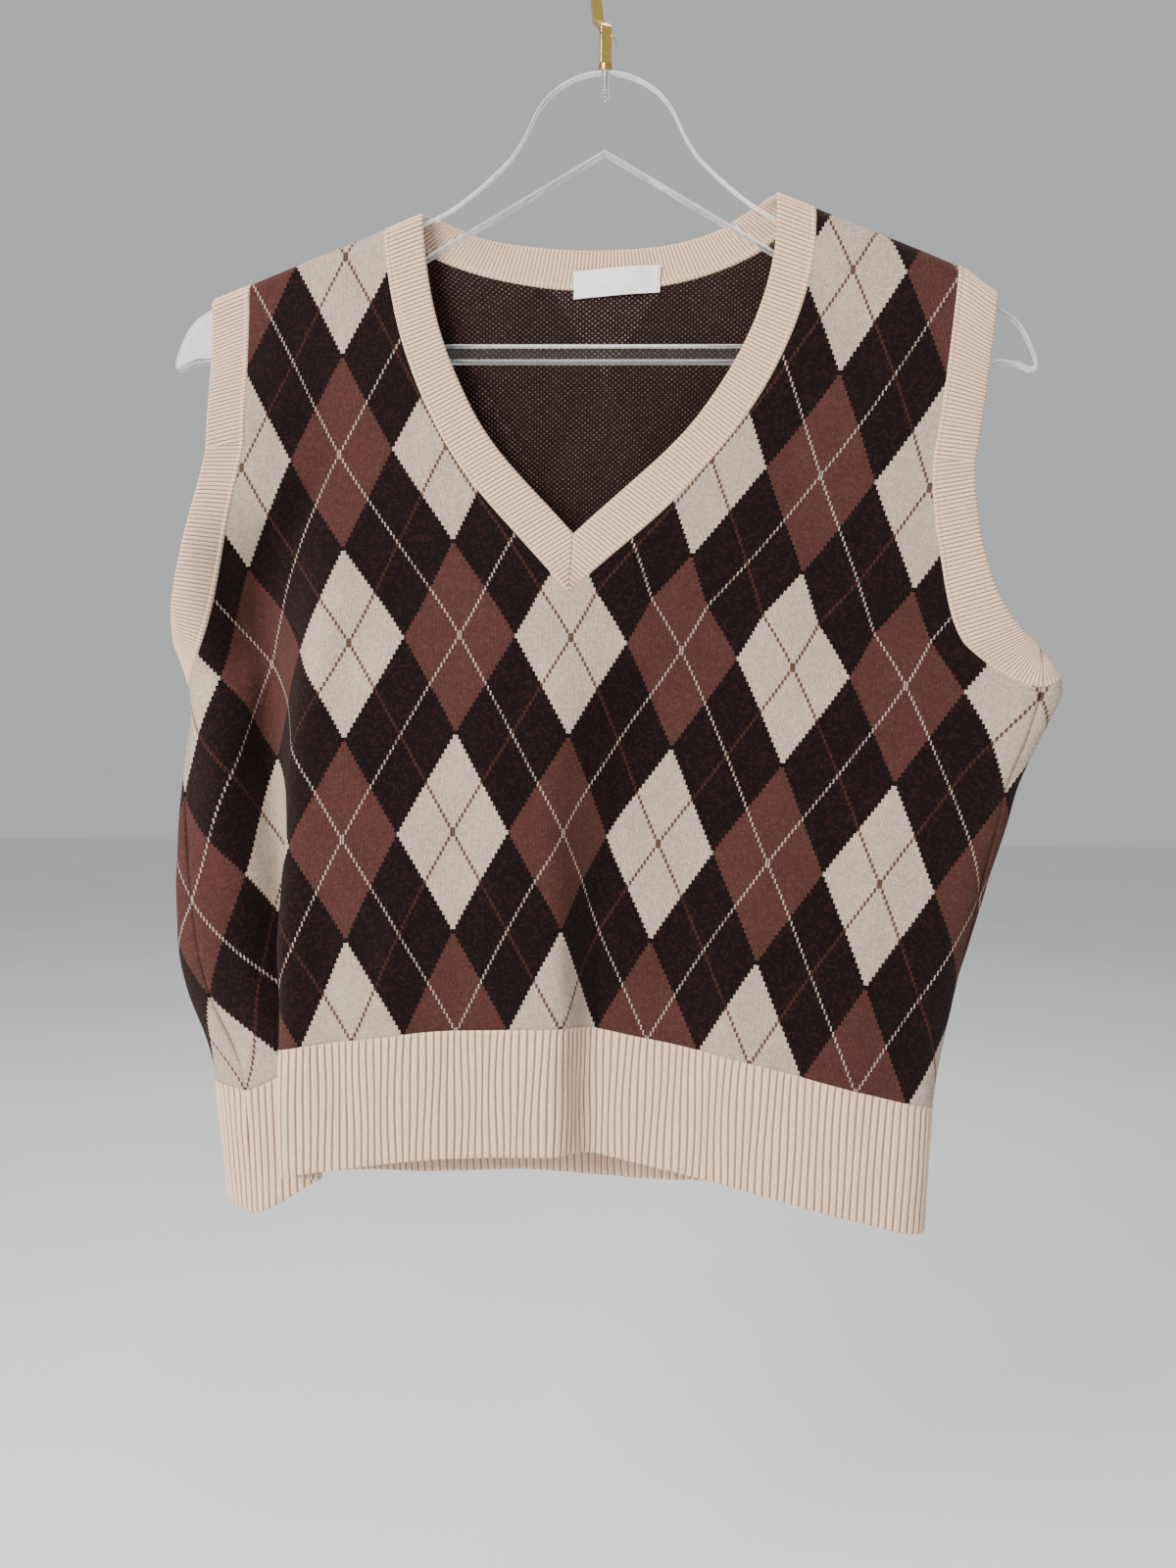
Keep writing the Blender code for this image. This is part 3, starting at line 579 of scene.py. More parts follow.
CLIMB = np.linspace(0, 1, 34)[1:]  # the rows from LAST_ROW to the shoulder
SEAM_DIP, SEAM_REACH = 0.4, 1.8  # the side seams' groove and how far it reaches


def panel_offsets(column, height):
    """How far the outer and the inner face stand off the middle of the cloth."""
    from_seam = (HALF_COLUMNS - np.abs(column)) * COLUMN
    groove = SEAM_DIP * np.exp(-((from_seam / SEAM_REACH) ** 2))
    outer = PANEL_WALL / 2 - groove
    inner = PANEL_WALL / 2 + 0.8 * groove
    return outer, inner


def front_panel():
    """Two halves that share the centre line up to the V and part above it."""
    heights = body_heights()
    grids, flat = [], []
    for half in (-1, 1):
        share = np.linspace(0, 1, 108)
        near, far = neckline(heights), np.minimum(armhole(heights), HALF_COLUMNS + LAP)
        low = half * (near[:, None] + (far - near)[:, None] * share)
        near = half * neck_column(half, CLIMB)
        high = half * (near[:, None] + (ARMHOLE_COLUMN - near)[:, None] * share)
        column = np.concatenate([low, high])
        top = LAST_ROW + (shoulder(FRONT, high) - LAST_ROW) * CLIMB[:, None]
        height = np.concatenate([np.broadcast_to(heights[:, None], low.shape), top])
        flat.append((column, height))
        grids.append(knitted(FRONT, column, height, *panel_offsets(column, height)))
    return sheet_mesh("knit_front", grids, argyle_knit()), flat_area(*flat)


def back_panel():
    """One grid whose top row follows the shoulders and the neckline between them."""
    heights = body_heights()
    middle = np.linspace(-NECK_COLUMN, NECK_COLUMN, 91)
    side = np.linspace(NECK_COLUMN, HALF_COLUMNS, 62)
    columns = np.concatenate([-side[::-1], middle[1:-1], side])
    far = np.minimum(armhole(heights), HALF_COLUMNS + LAP)
    low = columns / HALF_COLUMNS * far[:, None]
    outside = (-HALF_COLUMNS, -NECK_COLUMN, NECK_COLUMN, HALF_COLUMNS)
    narrowed = np.interp(columns, outside, (-ARMHOLE_COLUMN, -NECK_COLUMN, NECK_COLUMN, ARMHOLE_COLUMN))
    turned_in = smooth(CLIMB * 2.5)[:, None]
    high = low[-1] * (1 - turned_in) + narrowed * turned_in
    edge = back_neckline(np.clip(narrowed / NECK_COLUMN, -1, 1))[1]
    edge = np.where(np.abs(narrowed) < NECK_COLUMN, edge, shoulder(BACK, narrowed))
    top = LAST_ROW + (edge - LAST_ROW) * CLIMB[:, None]
    column = np.concatenate([low, high])
    height = np.concatenate([np.broadcast_to(heights[:, None], low.shape), top])
    grid = knitted(BACK, column, height, *panel_offsets(column, height))
    return sheet_mesh("knit_back", [grid], argyle_knit()), flat_area((column, height))


# ---------------------------------------------------------------------------- ribs

RIB_STEPS = np.array([0.0, 0.1, 0.28, 0.5, 0.72, 0.9])  # places across one rib, from groove to groove


def rib_round(place):
    """The height of a rib's round back over its grooves, from 0 to 1."""
    across = np.abs(2 * (place % 1.0) - 1)
    return 1 - across**2.6


def rib_places(length, pitch):
    """Places along a strip, in ribs, that follow each rib's round back."""
    count = int(round(length / pitch))
    places = (np.arange(count)[:, None] + RIB_STEPS).reshape(-1)
    return np.append(places, count), count


def wander(ribs, height):
    """A slow waver of the ribs, in ribs, so that no two stand quite alike."""
    return 0.14 * np.sin(ribs * 0.37 + height * 0.05) + 0.1 * np.sin(ribs * 0.91 - height * 0.09 + 1.7)


def hem_rib(name, side):
    """A strip of 1x1 rib. Its top laps the panel and its bottom edge is rounded."""
    ribs, count = rib_places(2 * HALF_COLUMNS * COLUMN, HEM_PITCH)
    down = np.concatenate([[-0.9, -0.2, 0.5], np.linspace(1.6, RIB_HEIGHT - 2.4, 20),
                           RIB_HEIGHT - np.array([1.4, 0.7, 0.2, 0.0])])
    ribs, down = np.broadcast_arrays(ribs, down[:, None])
    lean = wander(ribs, -down) * np.sin(pi * ribs / count)
    column = ((ribs + lean) / count * 2 - 1) * (HALF_COLUMNS + LAP)
    relief = rib_round(ribs)
    drawn_in = 0.35 * (1 - smooth(down / 9))
    edge = np.sqrt(np.clip(1 - ((down - RIB_HEIGHT + 2.4) / 2.5).clip(0, 1) ** 2, 0.06, 1))
    lapped = np.where(down < 1, PANEL_WALL / 2 + 0.12, 0)
    outer, inner = (np.maximum((RIB_WALL / 2 - 0.6 - drawn_in + part) * edge, lapped)
                    for part in (relief, 1 - relief))
    uv = np.stack([ribs, down], -1)
    made = sheet_mesh(name, [knitted(side, column, -down, outer, inner, uv)], rib_knit())
    return made, flat_area((column, -down))


BAND_INSETS = np.array([  # the rows of a band, in its widths from the seam
    -0.055, -0.03, 0.0, 0.035, 0.06, 0.085, 0.11, 0.2, 0.33, 0.47, 0.6, 0.73, 0.85, 0.93, 0.97, 1.0])


def band_offset(inset, relief, width):
    """How far a band's face stands off: a linking ridge over the seam, ribs, then a round edge."""
    across = inset * width
    bead = 0.75 * np.exp(-(((across - 0.35) / 0.95) ** 2))
    ribbed = smooth((across - 1.6) / 0.8)
    edge = np.sqrt(np.clip(1 - ((across - width + 1.6) / 1.65).clip(0, 1) ** 2, 0.06, 1))
    plain = BAND_WALL / 2 - 0.3 + ribbed * 0.7 * (relief - 0.35) + bead
    return plain * edge


def strip(name, side_of, column, height, width, pitch):
    """A band of fine rib from its (inset, station) columns and heights, re-spaced so that its
    stations follow the ribs."""
    points = np.empty(column.shape + (3,))
    normals = np.empty_like(points)
    for side in (FRONT, BACK):
        chosen = side_of == side
        points[:, chosen] = cloth(side, column[:, chosen], height[:, chosen])
        normals[:, chosen] = square_to(plain_cloth, side, column[:, chosen], height[:, chosen])
    seam = np.argmin(np.abs(BAND_INSETS))
    run = np.concatenate([[0], np.cumsum(np.linalg.norm(np.diff(points[seam], axis=0), axis=1))])
    ribs, count = rib_places(run[-1], pitch)
    at = ribs / count * run[-1]
    middle, away = (
        np.stack([np.stack([np.interp(at, run, row[:, k]) for k in range(3)], -1) for row in rows])
        for rows in (points, normals))
    away /= np.linalg.norm(away, axis=-1, keepdims=True)
    ribs, inset = np.broadcast_arrays(ribs, BAND_INSETS[:, None])
    outer, inner = (band_offset(inset, part, width) for part in (rib_round(ribs), 1 - rib_round(ribs)))
    uv = np.stack([ribs, inset * width], -1)
    return sheet_mesh(name, [(middle, away, outer, inner, uv)], rib_knit()), run[-1]


def seam_arm(side, half, edge, start, top_column, inward, width, stations=420):
    """One stretch of a band from its low end to the ridge, as (inset, station) columns and heights.
    The lines across it stand square to the seam. inward is -1 towards the neck, 1 towards the arm."""
    climb = np.linspace(0, 1, stations) ** 1.7
    column = np.full(stations, top_column)
    for _ in range(6):
        top = shoulder(side, half * column)
        height = start + (top - start) * climb
        column = edge(height)
    across, up = np.gradient(column * COLUMN), np.gradient(height)
    size = np.hypot(across, up)
    across, up = across / size, up / size
    inset = BAND_INSETS[:, None]
    step = inset * width / COLUMN
    moved = column + inward * step * up
    shift = -inward * step * COLUMN * across
    if inward < 0:
        room = np.clip(column / np.maximum(width / COLUMN * up, 1e-6), 0, 1)
        cut = np.where(inset > 0, room, 1.0)
        moved = np.maximum(column - step * up * cut, -LAP)
        shift = step * COLUMN * across * cut
    settle = smooth((climb - 0.45) / 0.5)
    at_top = shoulder(side, half * moved) - top
    height = height + shift * (1 - settle) + at_top * settle * climb
    return half * moved, height


def armband(name, half):
    """From the underarm up the front, over the shoulder and down the back."""
    columns, heights, sides = [], [], []
    for side in (FRONT, BACK):
        column, height = seam_arm(side, half, armhole, UNDERARM, ARMHOLE_COLUMN, 1, ARMBAND_WIDTH)
        column = np.clip(column, -HALF_COLUMNS - LAP, HALF_COLUMNS + LAP)
        if side == BACK:
            column, height = column[:, -2::-1], height[:, -2::-1]
        columns.append(column)
        heights.append(height)
        sides.append(np.full(column.shape[1], side))
    joined = [np.concatenate(part, axis=-1) for part in (sides, columns, heights)]
    return strip(name, *joined, ARMBAND_WIDTH, BAND_PITCH)


def neckband():
    """One strip round the neck, whose ends meet in a mitre at the V."""
    left = seam_arm(FRONT, -1, neckline, V_HEIGHT, NECK_COLUMN, -1, NECKBAND_WIDTH)
    right = seam_arm(FRONT, 1, neckline, V_HEIGHT, NECK_COLUMN, -1, NECKBAND_WIDTH)
    share = np.linspace(-1, 1, 301)[1:-1]
    back = [np.array(rows) for rows in zip(*(back_neckline(share, inset) for inset in BAND_INSETS))]
    column = np.concatenate([left[0], back[0], right[0][:, ::-1]], axis=1)
    height = np.concatenate([left[1], back[1], right[1][:, ::-1]], axis=1)
    side_of = np.full(column.shape[1], FRONT)
    side_of[left[0].shape[1]:left[0].shape[1] + len(share)] = BACK
    return strip("knit_neckband", side_of, column, height, NECKBAND_WIDTH, BAND_PITCH)


# ---------------------------------------------------------------------------- the label

LABEL_OFF = BAND_WALL / 2 + 0.5  # from the middle of the cloth to the middle of the tape
LABEL_HALF, LABEL_FOLD, STITCH = 0.16, 0.22, 0.62  # half walls, and half the length of a stitch


def neck_label():
    """A blank satin tape sewn down along both short ends, with its cut ends folded under."""
    across = np.concatenate([[-0.5, -0.497, -0.485], np.linspace(-0.46, 0.46, 38), [0.485, 0.497, 0.5]])
    up = np.concatenate([[0.0, 0.02, 0.06], np.linspace(0.14, 0.86, 10), [0.94, 0.98, 1.0]])
    across, up = np.broadcast_arrays(across, up[:, None])
    wide, tall = LABEL_SIZE
    either_side = plain_cloth(BACK, LABEL_COLUMN + np.array([-0.1, 0.1]), np.full(2, LABEL_HEIGHT))
    pitch = np.diff(either_side[:, 0])[0] / 0.2
    column = LABEL_COLUMN + across * wide / pitch
    height = LABEL_HEIGHT - tall * (1 - up) + LABEL_TILT * wide * across
    from_end = (0.5 - np.abs(across)) * wide
    lifted = (0.9 + 0.35 * np.sin(across * 9 + 0.6)) * smooth(from_end / 9)
    lifted = lifted * (1 - 0.35 * np.cos(2 * pi * up))
    wall = LABEL_HALF + LABEL_FOLD * (1 - smooth((from_end - 3.2) / 0.8))
    normals = square_to(plain_cloth, BACK, column, height)
    middle = cloth(BACK, column, height) - normals * (LABEL_OFF + lifted)[..., None]
    uv = np.stack([(across + 0.5) * wide, height - LABEL_HEIGHT + tall], -1)
    made = sheet_mesh("label_tape", [(middle, normals, wall, wall, uv)], satin())

    stitches = bpy.data.curves.new("label_stitches", "CURVE")
    stitches.dimensions = "3D"
    stitches.bevel_depth = 0.16 * MM
    stitches.bevel_resolution = 2
    stitches.use_fill_caps = True
    for end in (-1, 1):
        for i in range(8):
            reach = end * (wide / 2 - 1.6 - 0.25 * (i % 2))
            at = np.full(2, LABEL_COLUMN + reach / pitch)
            h = LABEL_HEIGHT - tall + tall * (i + 0.5) / 8 + np.array([-STITCH, STITCH]) + LABEL_TILT * reach
            off = LABEL_OFF + LABEL_HALF + LABEL_FOLD + 0.12
            low, high = cloth(BACK, at, h) - square_to(plain_cloth, BACK, at, h) * off
            bow = (low + high) / 2 + np.array([0, -0.18, 0])
            spline = stitches.splines.new("POLY")
            spline.points.add(2)
            for point, place in zip(spline.points, (low, bow, high)):
                point.co = (*(place * MM), 1)
    stitches.materials.append(thread())
    return made, shown("label_stitches", stitches)


# ---------------------------------------------------------------------------- the hanger

def arc(middle, radius, start, end, steps):
    """Points on an arc in the hanger's plane, angles from +X towards +Z."""
    angles = np.radians(np.linspace(start, end, steps))
    return [(middle[0] + radius * cos(a), middle[1] + radius * sin(a)) for a in angles]


def eased(points, steps):
    """A smooth curve through the points, which keeps its first and last."""
    points = np.array(points)
    padded = np.concatenate([[2 * points[0] - points[1]], points, [2 * points[-1] - points[-2]]])
    curve = []
    for a, b, c, d in zip(padded, padded[1:], padded[2:], padded[3:]):
        for t in np.linspace(0, 1, steps, endpoint=False):
            curve.append(0.5 * (2 * b + (c - a) * t + (2 * a - 5 * b + 4 * c - d) * t**2
                                + (3 * b - a - 3 * c + d) * t**3))
    return [tuple(p) for p in curve] + [tuple(points[-1])]


def half_outline():
    """The right half of the hanger's outer edge, from the top of the bell to the bar."""
    crown = arc((0, HANGER_TOP - BELL_RADIUS), BELL_RADIUS, 90, 22, 40)
    waist = [crown[-1], (41.8, -101.5), (45.8, -108.0), (50.3, -113.8), (61.7, -124.6), (71.5, -132.6),
             (ARM_X - 5, ARM_Z + 3.2), (ARM_X + 4, arm_top(ARM_X + 4)), (ARM_X + 14, arm_top(ARM_X + 14))]
    tip = [(ARM_END_X - 10, arm_top(ARM_END_X - 10)), (ARM_END_X, arm_top(ARM_END_X) - 1),
           (213.5, -198.5), (218.6, -208.5), (TIP_X, -216.5), (TIP_X - 0.6, TIP_Z)]
    under = [(TIP_X - 0.6, TIP_Z), (216.5, TIP_Z + 0.4), (211.0, -217.2), (203.0, BAR_BOTTOM)]
    return crown[:-1] + eased(waist, 9) + eased(tip, 9)[:-1] + under


def turn_outward(mesh):
    """Joins points that coincide, and turns every face outwards."""
    work = bmesh.new()
    work.from_mesh(mesh)
    bmesh.ops.remove_doubles(work, verts=work.verts, dist=1e-6)
    bmesh.ops.recalc_face_normals(work, faces=work.faces)
    work.to_mesh(mesh)
    work.free()


def flat_piece(name, outlines, wall, edge, finish, turn=0.0, rounds=4):
    """A flat outline, thickened and rounded along its edges, in the hanger's plane."""
    curve = bpy.data.curves.new(name, "CURVE")
    curve.dimensions = "2D"
    curve.fill_mode = "BOTH"
    curve.extrude = (wall / 2 - edge) * MM
    curve.bevel_depth = edge * MM
    curve.bevel_resolution = rounds
    curve.offset = -edge * MM
    for outline in outlines:
        spline = curve.splines.new("POLY")
        spline.points.add(len(outline) - 1)
        for point, (x, z) in zip(spline.points, outline):
            point.co = (x * MM, z * MM, 0, 1)
        spline.use_cyclic_u = True
    drawn = shown(name + "_curve", curve)
    drawn.rotation_euler = (pi / 2, 0, turn)
    bpy.context.view_layer.update()
    mesh = bpy.data.meshes.new_from_object(drawn.evaluated_get(bpy.context.evaluated_depsgraph_get()))
    mesh.transform(drawn.matrix_world)
    bpy.data.objects.remove(drawn, do_unlink=True)
    turn_outward(mesh)
    mesh.materials.clear()
    mesh.materials.append(finish)
    mesh.shade_smooth()
    mesh.set_sharp_from_angle(angle=radians(50))
    made = shown(name, mesh)
    keep_flats(made)
    return made


def keep_flats(made):
    """Shading that stays flat on the large faces, and turns only in the rounding."""
    flats = made.modifiers.new("flats", "WEIGHTED_NORMAL")
    flats.mode = "FACE_AREA"
    flats.weight = 100
    flats.keep_sharp = True


SCREW_RADIUS, SCREW_LENGTH, SCREW_CLEARANCE = 1.9, 14.0, 0.3
FERRULE_RADIUS, FERRULE_HEIGHT = 3.5, 4.0
HOOK_WIDTH, HOOK_WALL, HOOK_TURN = 6.0, 2.6, 20.0
CROWN_RADIUS, JOG, JOG_LOW, JOG_HIGH = 17.0, 12.0, -44.0, -34.5


def turned(name, profile, finish, segments=48):
    """A profile of (radius, z) turned about the screw's axis, from the top down its outer side."""
    mesh = bpy.data.meshes.new(name)
    edges = [(i, i + 1) for i in range(len(profile) - 1)]
    mesh.from_pydata([(r * MM, 0, z * MM) for r, z in profile], edges, [])
    made = shown(name, mesh)
    screw = made.modifiers.new("turn", "SCREW")
    screw.steps = screw.render_steps = segments
    screw.use_merge_vertices = True
    screw.merge_threshold = 1e-5
    screw.use_smooth_shade = True
    split = made.modifiers.new("edges", "EDGE_SPLIT")
    split.split_angle = radians(40)
    mesh.materials.append(finish)
    return made


def hanger():
    """The clear body with the hole for its screw."""
    half = half_outline()
    outline = half + [(-x, z) for x, z in reversed(half[1:])]
    reach = (OPENING_APEX - BAR_TOP) / OPENING_SLOPE - 6
    corner = arc((-reach + 5, BAR_TOP + CORNER_RADIUS), CORNER_RADIUS, 150, 270, 7)
    opening = [(0, OPENING_APEX)] + corner
    opening += [(-x, z) for x, z in reversed(opening[1:])]
    made = flat_piece("hanger_clear", [outline, opening], HANGER_WALL, HANGER_EDGE, acrylic())
    bottom = HANGER_TOP - SCREW_LENGTH - SCREW_CLEARANCE
    drill = turned("screw_hole", [(0, HANGER_TOP + 20), (SCREW_RADIUS + SCREW_CLEARANCE, HANGER_TOP + 20),
                                  (SCREW_RADIUS + SCREW_CLEARANCE, bottom), (0, bottom - 1)], acrylic())
    drill.modifiers.remove(drill.modifiers["edges"])
    cut = made.modifiers.new("screw_hole", "BOOLEAN")
    cut.object = drill
    bpy.context.view_layer.update()
    mesh = bpy.data.meshes.new_from_object(made.evaluated_get(bpy.context.evaluated_depsgraph_get()))
    made.modifiers.clear()
    made.data = mesh
    mesh.materials.append(acrylic_edge())
    for face in mesh.polygons:
        hole = np.hypot(face.center.x, face.center.y) < (SCREW_RADIUS + 1) * MM
        face.material_index = int(abs(face.normal.y) < 0.9 and not hole)
    keep_flats(made)
    made.visible_shadow = made.visible_diffuse = False  # clear: it takes no light from the knit
    bpy.data.objects.remove(drill, do_unlink=True)
    return made


def hook():
    """A flat bar: up from the ferrule, back in a jog, and over in the crown."""
    middle = HOOK_WALL / 2 - CROWN_RADIUS
    start = HANGER_TOP + FERRULE_HEIGHT + 0.6
    reach = np.hypot(JOG, JOG_HIGH - middle)
    lean = np.degrees(np.arctan2(middle - JOG_HIGH, JOG))
    touch = 180 + lean - np.degrees(np.arccos(CROWN_RADIUS / reach))
    jog = [(0, JOG_LOW - 3), (-1, JOG_LOW), (-JOG + 1, JOG_HIGH - 2.5), (-JOG, JOG_HIGH)]
    path = np.array(eased([(0, start)] + jog, 4) + arc((0, middle), CROWN_RADIUS, touch, -25, 56))
    ahead = np.gradient(path, axis=0)
    ahead /= np.linalg.norm(ahead, axis=1)[:, None]
    across = np.stack([-ahead[:, 1], ahead[:, 0]], 1) * HOOK_WALL / 2
    outline = [tuple(p) for p in path + across] + [tuple(p) for p in (path - across)[::-1]]
    return flat_piece("hook_bar", [outline], HOOK_WIDTH, 0.4, brass(), radians(-90 + HOOK_TURN), 2)


def screw():
    """A threaded screw: a helical ridge on a core that tapers to its point."""
    pitch, around, up = 1.3, 40, 150
    z = np.linspace(0, 1, up)
    angle = np.linspace(0, 2 * pi, around, endpoint=False)
    depth = z[:, None] * SCREW_LENGTH + np.zeros_like(angle)
    thread_place = (depth / pitch + angle / (2 * pi)) % 1.0
    ridge_height = np.clip(1 - np.abs(thread_place - 0.5) / 0.34, 0, 1)
    body = 1 - smooth((depth - SCREW_LENGTH + 5) / 5.2)
    radius = (SCREW_RADIUS - 0.55 + 0.5 * ridge_height * smooth((depth - 1) / 1.5)) * np.maximum(body, 0.08)
    points = np.stack([radius * np.cos(angle), radius * np.sin(angle), HANGER_TOP + 0.2 - depth], -1)
    index = np.arange(up * around).reshape(up, around)
    ring = np.concatenate([index, index[:, :1]], axis=1)
    quads = np.stack([ring[:-1, :-1], ring[1:, :-1], ring[1:, 1:], ring[:-1, 1:]], -1).reshape(-1, 4)
    mesh = bpy.data.meshes.new("screw_thread")
    mesh.from_pydata((points.reshape(-1, 3) * MM).tolist(), [],
                     quads.tolist() + [index[0][::-1].tolist(), index[-1].tolist()])
    turn_outward(mesh)
    mesh.shade_smooth()
    mesh.materials.append(steel())
    return shown("screw_thread", mesh)


def ferrule():
    low = HANGER_TOP + 0.3
    top = low + FERRULE_HEIGHT
    profile = [(0, top), (2.7, top), (3.1, top - 0.12), (FERRULE_RADIUS, top - 0.55)]
    profile += [(FERRULE_RADIUS, low + 1.5), (3.3, low + 1.3), (3.3, low + 1.1)]
    profile += [(FERRULE_RADIUS, low + 0.9), (FERRULE_RADIUS, low + 0.4), (3.1, low), (0, low)]
    return turned("ferrule_ring", profile, dark_brass())


# ---------------------------------------------------------------------------- finishes

def adding(operation):
    """A method of Wire that adds a Math node of this operation."""
    return lambda wire, *others: wire.finish.math(operation, wire, *others)


class Wire:
    """A node's output. Arithmetic on it adds Math nodes."""

    def __init__(self, finish, socket):
        self.finish, self.socket = finish, socket

    __add__, __sub__ = adding("ADD"), adding("SUBTRACT")
    __mul__, __truediv__, __pow__ = adding("MULTIPLY"), adding("DIVIDE"), adding("POWER")
    __gt__, __lt__ = adding("GREATER_THAN"), adding("LESS_THAN")
    __abs__, __round__ = adding("ABSOLUTE"), adding("ROUND")
    floor, fraction = adding("FLOOR"), adding("FRACT")

    def __rsub__(self, other):
        return self.finish.math("SUBTRACT", other, self)

    def from_middle(self):
        """How far the fraction lies from a half, as 0 to 1."""
        return abs(self.fraction() * 2.0 - 1.0)


class Finish:
    """A material built up node by node. Its methods return wires."""

    def __init__(self, name, roughness=0.9, **sockets):
        self.made = bpy.data.materials.new(name)
        self.made.use_nodes = True
        self.tree = self.made.node_tree
        self.surface = self.tree.nodes["Principled BSDF"]
        for socket, value in {"Roughness": roughness, **sockets}.items():
            self.surface.inputs[socket.replace("_", " ")].default_value = value

    def node(self, kind, *inputs, **settings):
        """A node of this kind, with its first inputs."""
        made = self.tree.nodes.new("ShaderNode" + kind)
        for name, value in settings.items():
            setattr(made, name, value)
        for socket, value in zip(made.inputs, inputs):
            self.put(socket, value)
        return made

    def put(self, socket, value):
        if isinstance(value, Wire):
            self.tree.links.new(value.socket, socket)
        elif value is not None:
            socket.default_value = value

    def math(self, operation, *values):
        return Wire(self, self.node("Math", *values, operation=operation).outputs[0])

    def mix(self, share, a, b, blend="MIX"):
        made = self.node("Mix", data_type="RGBA", blend_type=blend)
        for name, value in (("Factor_Float", share), ("A_Color", a), ("B_Color", b)):
            socket = next(s for s in made.inputs if s.identifier == name)
            self.put(socket, (*value, 1.0) if isinstance(value, tuple) else value)
        return Wire(self, next(s for s in made.outputs if s.identifier == "Result_Color"))

    def span(self, value, low, high, to_low=0.0, to_high=1.0):
        made = self.node("MapRange", value, low, high, to_low, to_high, interpolation_type="SMOOTHSTEP")
        return Wire(self, made.outputs[0])

    def uv(self):
        read_from = Wire(self, self.node("UVMap", uv_map="cloth").outputs[0])
        split = self.node("SeparateXYZ", read_from)
        return Wire(self, split.outputs[0]), Wire(self, split.outputs[1])

    def joined(self, x, y, z):
        return Wire(self, self.node("CombineXYZ", x, y, z).outputs[0])

    def inside(self):
        return Wire(self, self.node("Attribute", attribute_name="inside").outputs["Fac"])

    def noise(self, scale, detail=2.0, rough=0.5):
        made = self.node("TexNoise")
        place = self.node("TexCoord").outputs["Object"]
        given = {"Vector": Wire(self, place), "Scale": scale, "Detail": detail, "Roughness": rough}
        for name, value in given.items():
            self.put(made.inputs[name], value)
        return Wire(self, made.outputs[0])

    def speckle(self, x, y, seed=0.0):
        """A number from 0 to 1 for each whole x and y."""
        made = self.node("TexWhiteNoise", self.joined(x, y, seed), noise_dimensions="3D")
        return Wire(self, made.outputs[0])

    def colour(self, value, painted_shade_and_tone=None):
        """The base colour, multiplied by a factor where one is given: painted light and shade of the knit's
        relief, with random tone.
        """
        if painted_shade_and_tone is not None:
            value = self.mix(1.0, value, self.joined(painted_shade_and_tone, painted_shade_and_tone, painted_shade_and_tone), "MULTIPLY")
        self.put(self.surface.inputs["Base Color"], value)

    def roughness(self, value):
        self.put(self.surface.inputs["Roughness"], value)

    def bump(self, height, distance, strength):
        made = self.node("Bump")
        for name, value in (("Strength", strength), ("Distance", distance), ("Height", height)):
            self.put(made.inputs[name], value)
        self.put(self.surface.inputs["Normal"], Wire(self, made.outputs[0]))


def stitch_height(x, y):
    """The relief of stockinette, where x and y count stitches and courses: two slanted legs."""
    from_middle = x.from_middle()
    leg = 1.0 - abs(from_middle * 2.0 - 1.0)
    loop = 1.0 - (y - from_middle * 0.55).from_middle()
    return leg**0.6 * loop**0.5


BROWN, OATMEAL, PLUM = (0.095, 0.034, 0.027), (0.62, 0.49, 0.395), (0.007, 0.0026, 0.0034)
RED_THREAD, PALE_THREAD = (0.095, 0.030, 0.022), (0.64, 0.53, 0.44)
# the second colour here is painted shade for the rib's grooves
CREAM, PAINTED_GROOVE_SHADE = (0.86, 0.60, 0.43), (0.33, 0.18, 0.115)


def odd(value):
    """1 where a whole number is odd, else 0."""
    return abs(value - round(value * 0.5) * 2.0)


